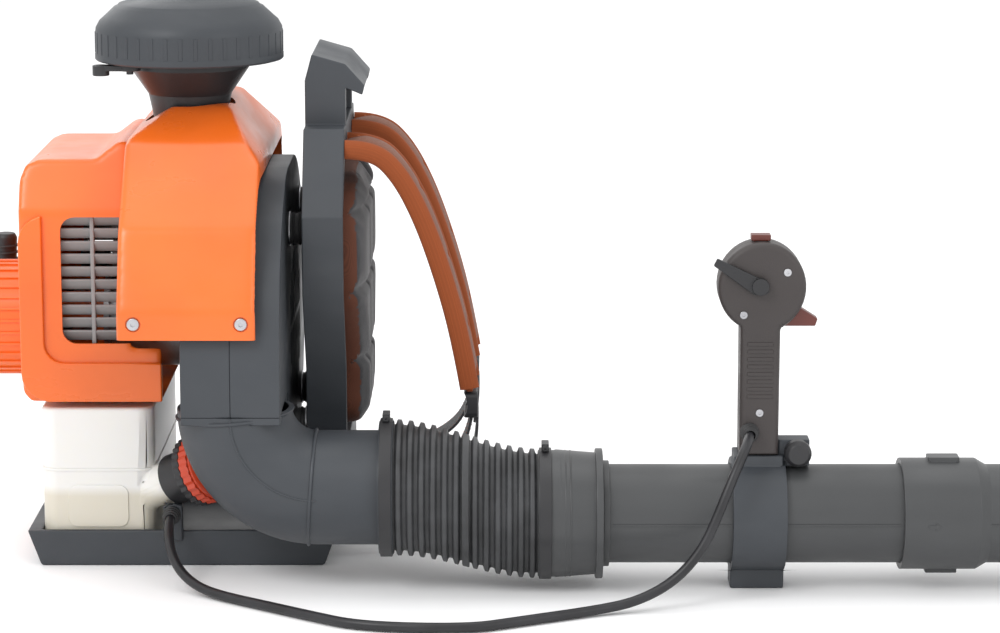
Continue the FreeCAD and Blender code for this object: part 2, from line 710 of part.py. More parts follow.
# ---------------------------------------------------------------- engine
def make_crankcase():
    """Two castings that meet across the shaft under the cylinder."""
    neck_top = crank_z + 43
    for name, low, high in (("crankcase_rear", cyl_x - case_half, cyl_x),
                            ("crankcase_front", cyl_x, cyl_x + case_half)):
        barrel = rod("x", (low, 0, crank_z), case_half, case_radius)
        neck = box((low + (8 if name.endswith("rear") else 0), -38, crank_z),
                   (high - (0 if name.endswith("rear") else 8), 38, neck_top))
        solids = [barrel, neck]
        if name.endswith("rear"):
            solids.append(rod("x", (low - 4, 0, crank_z), 4.5, housing_radius))
        chamber = rod("x", (cyl_x - 21, 0, crank_z), 42, web_radius + 2)
        seat = rod("x", (cyl_x - 34, 0, crank_z), 68, bearing_radius + 0.02)
        opening = rod("x", (low - 5, 0, crank_z), case_half + 6, shaft_radius + 3.5)
        well = rod("z", (cyl_x, 0, crank_z), 50, bore + 1)
        node(name, cut(fuse(*solids), chamber, seat, opening, well))
    bearings = []
    shaft_hole = shaft_radius + running
    for face in (cyl_x - 32, cyl_x + 21):
        bearings.append(ring("x", (face, 0, crank_z), 0, bearing_width, bearing_radius, shaft_hole))
    for face in (cyl_x - 37.5, cyl_x + 34):
        bearings.append(ring("x", (face, 0, crank_z), 0, 3.5, shaft_radius + 3.4, shaft_hole))
    node("bearings_and_seals", group(bearings))


def make_crankshaft():
    """Two full webs on their shafts, with the gap between them left to the connecting rod's end."""
    gap, thick = 7, 13
    rear_end, front_end = -152, 40
    rear = [(rear_end, 0), (rear_end, 6), (-82, 6), (-82, shaft_radius), (cyl_x - gap - thick, shaft_radius)]
    rear += [(cyl_x - gap - thick, web_radius), (cyl_x - gap, web_radius), (cyl_x - gap, 0)]
    front = [(cyl_x + gap, 0), (cyl_x + gap, web_radius), (cyl_x + gap + thick, web_radius)]
    front += [(cyl_x + gap + thick, shaft_radius), (2, shaft_radius), (2, 6), (front_end, 6), (front_end, 0)]
    halves = [turned("x", (0, 0, crank_z), points) for points in (rear, front)]
    nuts = [prism("YZ", hexagon(10, crank_z), low, low + 6) for low in (-130.5, 31)]
    halves += [cut(nut, rod("x", (-135, 0, crank_z), 200, 6.02)) for nut in nuts]
    node("crankshaft", group(halves))
    rim = flywheel_radius - 4
    wheel = [(-124, 6.02), (-124, 11), (-116, 11), (-116, 22), (-124, 22), (-124, 25), (-112, 25), (-112, 14)]
    wheel += [(-101, 14), (-101, rim), (-108, rim), (-108, flywheel_radius)]
    wheel += [(-108 + flywheel_width, flywheel_radius), (-108 + flywheel_width, 6.02)]
    node("flywheel", turned("x", (0, 0, crank_z), wheel))


def hexagon(radius, height):
    turns = [math.radians(60 * n) for n in range(6)]
    return [(round(radius * math.cos(a), 3), height + round(radius * math.sin(a), 3)) for a in turns]


def make_fan():
    """The centrifugal fan: a cupped back plate, a hub and backward-leaning blades."""
    back = number(fan_back + fan_gap)
    front = number(fan_front - fan_gap)
    points = [(back, 6.02), (back, fan_radius), (back + 3, fan_radius), (back + 6, 24), (30, 16), (30, 6.02)]
    disc = turned("x", (0, 0, crank_z), points)
    blade = blade_face(42, number(fan_radius), math.radians(35), 2.4)
    solids = []
    count = 14
    for index in range(count):
        solid = blade.extrude(V(front - back - 1, 0, 0))
        solid.rotate(V(), X, 360 * index / count)
        solid.translate(V(back + 1, 0, number(crank_z)))
        solids.append(solid)
    node("fan_impeller", fuse(disc, shaped(Part.makeCompound(solids), "blades")))


def blade_face(inner, outer, lean, thick):
    """The section of one backward-leaning blade: an arc given an even thickness."""
    lines = []
    for side in (0, thick):
        spots = []
        for n in range(3):
            radius = inner + (outer - inner) * n / 2
            angle = lean * n / 2 + side / radius
            spots.append(V(0, radius * math.cos(angle), radius * math.sin(angle)))
        lines.append(spots)
    one, two = lines
    edges = [Part.Arc(*one).toShape(), Part.LineSegment(one[2], two[2]).toShape(),
             Part.Arc(*two).toShape(), Part.LineSegment(two[0], one[0]).toShape()]
    return Part.Face(Part.Wire(Part.sortEdges(edges)[0]))


def make_cylinder():
    """The finned cylinder with its inlet and exhaust faces."""
    foot = crank_z + 43
    barrel = rod("z", (cyl_x, 0, foot), head_top - foot, bore + 6)
    base = box((cyl_x - 30, -36, foot), (cyl_x + 30, 36, foot + 6))
    head = box((cyl_x - 24, -30, head_top - 12), (cyl_x + 24, 30, head_top))
    ports = box((cyl_x - 18, -fin_half, foot + 12), (cyl_x + 18, fin_half, foot + 40))
    fins = []
    pitch, thick, count = 7.5, 2.4, 10
    for index in range(count):
        level = foot + 12 + index * pitch
        fins.append(box((cyl_x - 34, -fin_half, level), (cyl_x + 34, fin_half, level + thick)))
    chamber = rod("z", (cyl_x, 0, foot - 1), rod_length + stroke / 2 + 22 + 1 - 43 - 0, bore)
    inlet = rod("y", (cyl_x, -fin_half - 1, crank_z + 69), fin_half - 10, 10)
    outlet = rod("y", (cyl_x, 12, crank_z + 69), fin_half - 10, 11)
    plug_hole = rod("z", (cyl_x, 0, head_top - 25), 30, 6)
    node("cylinder", cut(fuse(barrel, base, head, ports, *fins), chamber, inlet, outlet, plug_hole))
    plug = [(-22, 0), (-22, 5.9), (0, 5.9), (0, 8.5), (9, 8.5), (9, 5), (30, 5), (30, 0)]
    cap = [(8.5 + 1, 5.2), (9.5, 9), (34, 9), (38, 6), (38, 0), (30.3, 0), (30.3, 5.2)]
    node("spark_plug", group([turned("z", (cyl_x, 0, head_top), points) for points in (plug, cap)]))


def make_piston():
    """The piston at the top of its stroke, hung on its rod and crank pin."""
    pin = crank_z + stroke / 2
    wrist = pin + rod_length
    skirt, crown = wrist - 14, wrist + 20
    blank = rod("z", (cyl_x, 0, skirt), crown - skirt, bore - running)
    hollow = rod("z", (cyl_x, 0, skirt - 1), crown - skirt - 4, bore - 4)
    blocks = [box((cyl_x + low, -8, wrist - 8), (cyl_x + low + 12, 8, crown - 4)) for low in (-19, 7)]
    bosses = common(fuse(*blocks), rod("z", (cyl_x, 0, skirt), crown - skirt, bore - 2))
    pin_hole = rod("x", (cyl_x - 30, 0, wrist), 60, 5)
    pin_rod = rod("x", (cyl_x - 18, 0, wrist), 36, 4.98)
    node("piston", group([cut(fuse(cut(blank, hollow), bosses), pin_hole), pin_rod]))
    shank = box((cyl_x - 4, -5, pin + 6), (cyl_x + 4, 5, wrist - 4))
    big, small = rod("x", (cyl_x - 5, 0, pin), 10, 11), rod("x", (cyl_x - 5, 0, wrist), 10, 9)
    holes = [rod("x", (cyl_x - 6, 0, pin), 12, 7), rod("x", (cyl_x - 6, 0, wrist), 12, 5)]
    crank_pin = rod("x", (cyl_x - 6.5, 0, pin), 13, 6.98)
    node("connecting_rod", group([cut(fuse(shank, big, small), *holes), crank_pin]))


def make_intake():
    """Manifold, carburettor and the rubber boot up to the air filter."""
    port = crank_z + 69
    block = fuse(box((cyl_x - 16, carb_y - 16, port - 16), (cyl_x + 16, -fin_half, port + 16)),
                 box((cyl_x - 16, carb_y - 16, port + 10), (cyl_x + 16, carb_y + 16, carb_z)))
    across = rod("y", (cyl_x, carb_y, port), -fin_half - carb_y + 1, 9)
    upward = rod("z", (cyl_x, carb_y, port), carb_z - port + 1, 9)
    manifold = cut(block, across, upward)
    body = box((cyl_x - 19, carb_y - 19, carb_z), (cyl_x + 19, carb_y + 19, carb_z + 34))
    node("carburettor", cut(rounded(body, 3, Z), rod("z", (cyl_x, carb_y, carb_z - 1), 36, 9), bulb_seat()))
    low, high = number(carb_z) + 34, number(filter_z - filter_neck)
    start, end = V(*numbers(cyl_x, carb_y), low), V(*numbers(filter_x, filter_y), high)
    outer = loft([(start, 17), (start + V(0, 0, 6), 17), (end - V(0, 0, 6), 21), (end, 21)])
    inner = loft([(start - V(0, 0, 1), 12), (start + V(0, 0, 6), 12), (end - V(0, 0, 6), 17),
                  (end + V(0, 0, 1), 17)])
    node("intake_ducts", group([manifold, shaped(outer.cut(inner))]))


def bulb_seat():
    return rod("x", (cyl_x - 20, carb_y, carb_z + 12), 9, 6.4)


def make_primer():
    """The soft primer bulb, with the stem that slides in the carburettor's side."""
    points = [(-11, 0), (-11, 5), (-8, 8.6), (-4, 10), (-4, 6), (4, 6), (4, 0)]
    node("primer_bulb", turned("x", (cyl_x - 19, carb_y, carb_z + 12), points))


def make_exhaust():
    low = fin_half
    flange = box((cyl_x - 20, low, crank_z + 50), (cyl_x + 20, low + 4, crank_z + 88))
    body = box((cyl_x - 34, low + 4, crank_z + 36), (cyl_x + 30, low + 49, crank_z + 106))
    shield = box((cyl_x - 30, low + 49, crank_z + 40), (cyl_x + 26, low + 52, crank_z + 102))
    slots = [box((cyl_x - 22, low + 50.5, crank_z + z), (cyl_x + 18, low + 53, crank_z + z + 6))
             for z in (50, 64, 78, 90)]
    node("muffler", fuse(rounded(body, 8, Y), flange, cut(shield, *slots)))


def make_ignition():
    face = cyl_x - case_half - 4
    low = crank_z + flywheel_radius + 0.6
    coil = box((face - 22, -17, low), (face, 17, low + 18))
    node("ignition_coil", rounded(coil, 3, X))


# ---------------------------------------------------------------- starter
def make_starter():
    """The recoil starter: its housing on the crankcase's flange, pulley, spring and grip."""
    drum, back, skirt = hub_radius, hub_back, housing_radius
    flange = cyl_x - case_half - 4
    shell = [(back, 0), (back, drum - 6), (back + 6, drum), (-141, drum), (-139, skirt), (flange, skirt)]
    shell += [(flange, skirt - 2.6), (-138, skirt - 2.6), (-140, drum - 3), (back + 7, drum - 3)]
    shell += [(back + 4, drum - 8), (back + 4, 8), (-172, 8), (-172, 0)]
    housing = turned("x", (0, 0, crank_z), shell)
    rope_z = crank_z + pulley_radius - 2
    guide = rod("y", (-180, 34, rope_z), 12, 8)
    rope_hole = rod("y", (-180, 16, rope_z), 40, 3.2)
    slots = [box((-136, -75, crank_z + z), (-114, 75, crank_z + z + 5)) for z in (-28, -14, 9, 23)]
    coil_gap = box((flange - 26, -20, crank_z + 30), (flange + 1, 20, crank_z + 70))
    node("starter_housing", cut(fuse(housing, guide), rope_hole, coil_gap, *slots))
    low, high = -187, -173
    flange_radius, groove = pulley_radius + 3, pulley_radius - 3
    pulley = [(low, 8 + running), (low, flange_radius), (low + 3, flange_radius), (low + 3, groove)]
    pulley += [(high - 3, groove), (high - 3, flange_radius), (high, flange_radius), (high, 8 + running)]
    node("starter_pulley", turned("x", (0, 0, crank_z), pulley))
    node("recoil_spring", ring("x", (-193, 0, crank_z), 0, 5, 28, 8.3))
    grip = [(-35, 0), (-35, 8), (-31, 10), (-10, 9), (0, 11), (10, 9), (31, 10), (35, 8), (35, 0)]
    neck = rod("y", (-180, 46.3, rope_z), 10, 6)
    node("starter_grip", fuse(turned("z", (-180, 61, rope_z), grip), neck))


# ---------------------------------------------------------------- air filter
def make_filter():
    """The air filter: a base on a funnel-shaped neck, the element, its cover and the cover's knob."""
    centre = (filter_x, filter_y, filter_z)
    disc, plate, seat = filter_radius - 5, 6, 38
    base = [(-filter_neck, 17), (-filter_neck, 30), (-28, 35), (-6, 50), (0, 50), (0, disc), (plate, disc)]
    base += [(plate, seat), (10, seat), (10, 30), (plate, 30), (plate, 17)]
    post = rod("z", (filter_x, filter_y, filter_z + 4), filter_top - filter_z - 12, 4)
    bridge = box((filter_x - 20, filter_y - 4, filter_z), (filter_x + 20, filter_y + 4, filter_z + plate))
    stud = rod("z", (filter_x - 46, filter_y - 40, filter_z - 8), 9, 2.95)
    node("air_filter_base", fuse(turned("z", centre, base), post, bridge, stud))
    roof = filter_top - filter_z
    node("filter_element", ring("z", centre, plate, roof - 14.6, filter_radius - 12 - wall, seat + fit))
    inside = filter_radius - wall
    cover = [(1, inside), (1, filter_radius), (roof - 28, filter_radius), (roof - 8, filter_radius - 16)]
    cover += [(roof, 34), (roof, 4.4), (roof - 3, 4.4), (roof - 3, 33), (roof - 10, inside - 15)]
    cover += [(roof - 30, inside)]
    node("filter_cover", turned("z", centre, cover))
    knob = [(roof + fit, 0), (roof + fit, 15), (roof + 7, 17), (roof + 10, 14), (roof + 10, 0)]
    wings = box((filter_x - 18, filter_y - 3, filter_top + 2), (filter_x + 18, filter_y + 3, filter_top + 11))
    stem = rod("z", (filter_x, filter_y, filter_top - 7), 8, 3)
    node("filter_knob", fuse(turned("z", centre, knob), wings, stem))


def make_choke():
    """The choke lever on its stud under the filter's base, on the wearer's right."""
    across, low, thick = filter_y - 40, filter_z - 5, 4.6
    arm = box((filter_x - 72, across - 6, low), (filter_x - 40, across + 6, low + thick))
    boss = rod("z", (filter_x - 46, across, low), thick, 9)
    knob = rod("z", (filter_x - 70, across, low - 4), thick + 4, 7)
    hole = rod("z", (filter_x - 46, across, low - 1), thick + 2, 2.95 + running)
    node("choke_lever", cut(fuse(arm, boss, knob), hole))


# ---------------------------------------------------------------- covers
def cover_section(inset, drop):
    """The engine cover's section across the machine, following the fan housing's scroll."""
    top = cover_top - inset
    right, left = cover_right + inset, cover_left - inset
    return [(right, cover_top - 171 - drop), (right, cover_top - 148), (right + 26, cover_top - 86),
            (right + 88, cover_top - 24 - inset / 2), (-70, top), (64, top), (left - 26, cover_top - 38),
            (left, cover_top - 104), (left, cover_top - 196 - drop)]


def cover_side():
    """The engine cover's outline from the side."""
    low = cover_top - 206
    return [(cover_back, low), (cover_back, cover_top - 23), (cover_back + 36, cover_top),
            (cover_front - 30, cover_top), (cover_front, cover_top - 40), (cover_front, low)]


def cover_room():
    """The room inside the engine cover from the side, open behind and below."""
    low, top = cover_top - 216, cover_top - wall
    return [(cover_back - 1, low), (cover_back - 1, top - 24), (cover_back + 36, top),
            (cover_front - 30 - wall, top), (cover_front - wall, top - 40), (cover_front + 1, cover_top - 86),
            (cover_front + 1, low)]


def make_engine_cover():
    """A shell over the cylinder and the fan housing, open below, behind and in front."""
    skin = common(prism("YZ", cover_section(0, 0), cover_back, cover_front),
                  prism("XZ", cover_side(), cover_right - 1, cover_left + 1))
    hollow = common(prism("YZ", cover_section(wall, 10), cover_back - 1, cover_front + 1),
                    prism("XZ", cover_room(), cover_right - 1, cover_left + 1))
    neck = rod("z", (filter_x, filter_y, cover_top - 20), 30, 38)
    scroll = scroll_form(-1.0, fan_back - 1, fan_front)
    node("engine_cover", cut(skin, hollow, neck, scroll))


def rear_side(inset, overrun):
    """The rear cover's outline from the side: a hoop with a lip under the engine cover."""
    back, front = rear_back + inset, cover_back - 1.5 + overrun
    low, high = rear_low + inset, rear_high - inset
    lip, lip_top = cover_back - 1.5 + rear_lip + overrun, rear_low + 46 + overrun
    foot = 6 - inset * 4 / 3
    return [(back, low + foot), (back + foot, low), (lip, low), (lip, lip_top), (front, lip_top),
            (front, high + 14), (cover_back - 11.5, high + 14), (cover_back - 29.5, high),
            (back + 14, high), (back, high - 16)]


def rear_section(inset, overrun):
    """The rear cover's section across the machine."""
    half, shoulder, crown = rear_half - inset, rear_high - 42, rear_high + 20 - inset
    side = [(half, rear_low - 1), (half, shoulder), (half - 30 + overrun, crown)]
    return side + [(-y, z) for y, z in reversed(side)]


def make_rear_cover():
    """The rear cover around the starter, with an open window in each side."""
    back, front = rear_back, cover_back - 1.5
    skin = common(prism("XZ", rear_side(0, 0), -rear_half, rear_half),
                  prism("YZ", rear_section(0, 0), back - 1, front + rear_lip + 1))
    room = common(prism("XZ", rear_side(wall, 1), -rear_half, rear_half),
                  prism("YZ", rear_section(wall, 1), back - 1, front + rear_lip + 2))
    drum = rod("x", (back - 5, 0, crank_z), 20, hub_radius + 1)
    window = box((back + 35, -rear_half - 1, crank_z - 4), (front + 1, rear_half + 1, rear_high - 46))
    node("rear_cover", cut(skin, room, drum, window))
    grilles = []
    for side in (-1, 1):
        low = side * (rear_half - wall - 1.5) - 1.5
        frame = box((back + 32, low, crank_z - 9), (front - 1, low + 3, rear_high - 42))
        slots = [box((back + 38, low - 1, crank_z + 3 + 12 * n), (front - 6, low + 4, crank_z + 9 + 12 * n))
                 for n in range(8)]
        grilles.append(cut(frame, *slots))
    node("side_grilles", group(grilles))
    screws = []
    for y in (-rear_half + 42, rear_half - 42):
        for z in (rear_low + 32, rear_high - 30):
            screws.append(turned("x", (back, y, z), [(-2.5, 0), (-2.5, 4), (0, 4), (0, 0)]))
    return screws


# ---------------------------------------------------------------- fuel
CAP_AXIS = V(0.81, -0.43, 0.40).normalize()
CAP_PLACE = V(-2, -105, 80)


def make_tank():
    blank = box((tank_back, -tank_half, base_floor + 3 + fit), (tank_front, tank_half, tank_top))
    shell = rounded(blank, 14, Z)
    neck = rod(CAP_AXIS, tuple(CAP_PLACE - CAP_AXIS * 62), 62, cap_radius - 13)
    node("fuel_tank", fuse(shell, neck))
    points = [(fit, 0), (fit, cap_radius), (15, cap_radius), (17, cap_radius - 3), (22, cap_radius - 6)]
    points += [(22, 0)]
    hub = rod(CAP_AXIS, tuple(CAP_PLACE + CAP_AXIS * 21), 5, 9)
    node("fuel_cap", fuse(turned(CAP_AXIS, tuple(CAP_PLACE), points), hub))


# ---------------------------------------------------------------- handle
def make_clamp():
    """The clamp that carries the handle on the tube, with the foot that the tube rests on."""
    low, high = grip_x - clamp_half, grip_x + clamp_half
    under, over = pipe_z - clamp_radius, pipe_z + clamp_radius
    stud_x, stud_z, stud_radius = high + 10, over + 7.2, 3
    hoop = rod("x", (low, tube_y, pipe_z), 2 * clamp_half, clamp_radius)
    foot = box((low, tube_y - 14, 0), (high, tube_y + 14, under + 6))
    seat = box((grip_x - 20, tube_y - 17, over - 6), (grip_x + 20, tube_y + 17, stalk_foot))
    ear = box((high - 6, tube_y - 9, over - 4.8), (high + 20, tube_y + 9, over + 17.2))
    hole = rod("x", (low - 1, tube_y, pipe_z), 2 * clamp_half + 2, pipe_radius + fit)
    stud = rod("y", (stud_x, tube_y - 10, stud_z), 24, stud_radius + running)
    node("handle_clamp", cut(rounded(fuse(hoop, foot, seat, ear), 2, Z), hole, stud))
    thread = stud_radius - 2 * running
    knob = [(-22, 0), (-22, 8), (-18, 11), (-9.3, 11), (-9.3, thread), (9, thread), (9, 0)]
    node("clamp_knob", turned("y", (stud_x, tube_y, stud_z), knob))


def handle_outline(inset):
    stem = 16 - inset
    x = grip_x
    return [(x - stem, stalk_foot + inset), (x + stem, stalk_foot + inset), (x + stem, head_low - 4 + inset),
            (x + 33 - inset, head_low + 8 + inset), (x + 37 - inset, head_high - 28),
            (x + 24 - inset, head_high - inset), (x - 14 + inset, head_high - inset),
            (x - 33 + inset, head_high - 20), (x - 35 + inset, head_low + 16), (x - stem, head_low + inset)]


def make_handle():
    """The upright control handle in two shells, with its levers and stop switch."""
    for name, low, high in (("handle_right_shell", tube_y - grip_half, tube_y),
                            ("handle_left_shell", tube_y, tube_y + grip_half)):
        solid = rounded(prism("XZ", handle_outline(0), low, high), 10, Y)
        hollow = prism("XZ", handle_outline(wall), tube_y - grip_half + wall, tube_y + grip_half - wall)
        hollow = rounded(hollow, 10 - wall, Y)
        slot = box((grip_x + 6, tube_y - 7, head_low - 18), (grip_x + 40, tube_y + 7, head_low + 32))
        switch_slot = box((grip_x - 8, tube_y - 4.3, head_high - 5),
                          (grip_x + 14, tube_y + 4.3, head_high + 1))
        cable_place = (grip_x - 8, tube_y - grip_half - 1, stalk_foot + 20)
        cable_hole = rod("y", cable_place, 6, cable_radius + 2 * fit)
        lever_hole = rod("y", (grip_x - 1, tube_y - grip_half - 1, head_low + 39), 5, 2.5 + running)
        node(name, cut(solid, hollow, slot, switch_slot, cable_hole, lever_hole))
    pivot_x, pivot_z = grip_x + 12, head_low + 22
    blade = [(pivot_x - 5, pivot_z - 5), (pivot_x - 5, pivot_z + 5), (pivot_x + 8, pivot_z + 5)]
    blade += [(grip_x + 47, head_low + 10), (grip_x + 45, head_low + 4), (grip_x + 18, head_low + 4)]
    trigger = prism("XZ", blade, tube_y - 6, tube_y + 6)
    pin = rod("y", (pivot_x, tube_y - grip_half + wall + 0.1, pivot_z), 2 * (grip_half - wall) - 0.2, 2.5)
    node("trigger", fuse(trigger, pin))
    side = tube_y - grip_half
    lever = [(grip_x - 39, head_low + 56), (grip_x - 36, head_low + 62), (grip_x + 2, head_low + 44)]
    lever += [(grip_x + 4, head_low + 34), (grip_x - 6, head_low + 32)]
    plate = prism("XZ", lever, side - 4.3, side - fit)
    boss = rod("y", (grip_x - 1, side - 7, head_low + 39), 7 - fit, 7)
    node("cruise_lever", fuse(plate, boss, rod("y", (grip_x - 1, side - fit - 0.1, head_low + 39), 2.8, 2.5)))
    button = fuse(box((grip_x - 6, tube_y - 4, head_high - 2.6), (grip_x + 6, tube_y + 4, head_high + 1)),
                  box((grip_x - 8, tube_y - 6, head_high + fit), (grip_x + 8, tube_y + 6, head_high + 5)))
    node("stop_switch", rounded(button, 1, Z))


# ---------------------------------------------------------------- throttle cable
CABLE_REAR = [V(-20, -118, 46), V(-20, -135, 46), V(-19.5, -151, 40), V(-16.5, -168, 28), V(-7, -185, 15),
              V(10, -202, 6.5), V(33, -220, 4.3), V(64, -243, 4.3), V(102, -272, 4.3), V(146, -304, 4.3),
              V(190, -307, 4.3)]
CABLE_MIDDLE = [V(190, -307, 4.3), V(231, -309.8, 4.3), V(268, -291, 4.3), V(304, -273, 4.3)]
CABLE_FRONT = [V(304, -273, 4.3), V(334, -258, 4.3), V(366, -249, 9), V(396, -242, 24), V(418, -237, 49),
               V(430.5, -232, 77), V(440, -226.5, 100), V(448.5, -217, 117), V(454.5, -205.5, 127.5),
               V(457.5, -193.5, 132), V(458, -181, 132)]


def make_cable():
    radius = number(cable_radius)
    for name, points in (("throttle_cable_rear", CABLE_REAR), ("throttle_cable_middle", CABLE_MIDDLE),
                         ("throttle_cable_front", CABLE_FRONT)):
        node(name, shaped(cord_tube(points, radius, name)))


# ---------------------------------------------------------------- the whole machine
def build():
    makers = (make_base, make_feet, make_backplate, make_pad, make_straps, make_mounts, make_fan_housing,
              make_elbow, make_hose, make_cuff, make_pipes, make_crankcase, make_crankshaft, make_fan,
              make_cylinder, make_piston, make_intake, make_primer, make_exhaust, make_ignition, make_starter,
              make_filter, make_choke, make_engine_cover, make_rear_cover, make_tank, make_clamp, make_handle,
              make_cable)
    screws = []
    for make in makers:
        screws += make() or []
    screws.append(turned("x", (0, 0, crank_z), [(-172, 0), (-172, 12), (-168, 12), (-168, 0)]))
    node("housing_screws", group(screws))
    doc.recompute()


def check():
    """Every object has to have worked out, and every sub-part has to be a valid solid."""
    failed = [thing.Label for thing in doc.Objects if {"Invalid", "Error"} & set(thing.State)]
    bad = [name for name, thing in NODES.items() if thing.Shape.isNull() or not thing.Shape.isValid()
           or not thing.Shape.Solids]
    if failed or bad:
        raise ValueError(f"failed objects {failed}, bad sub-parts {bad}")


def write():
    os.makedirs("parts", exist_ok=True)
    for name, thing in NODES.items():
        thing.Shape.exportStep(f"parts/{name}.step")
    print(len(NODES), "sub-parts,", sum(len(thing.Shape.Solids) for thing in NODES.values()), "solids")


build()
check()
write()
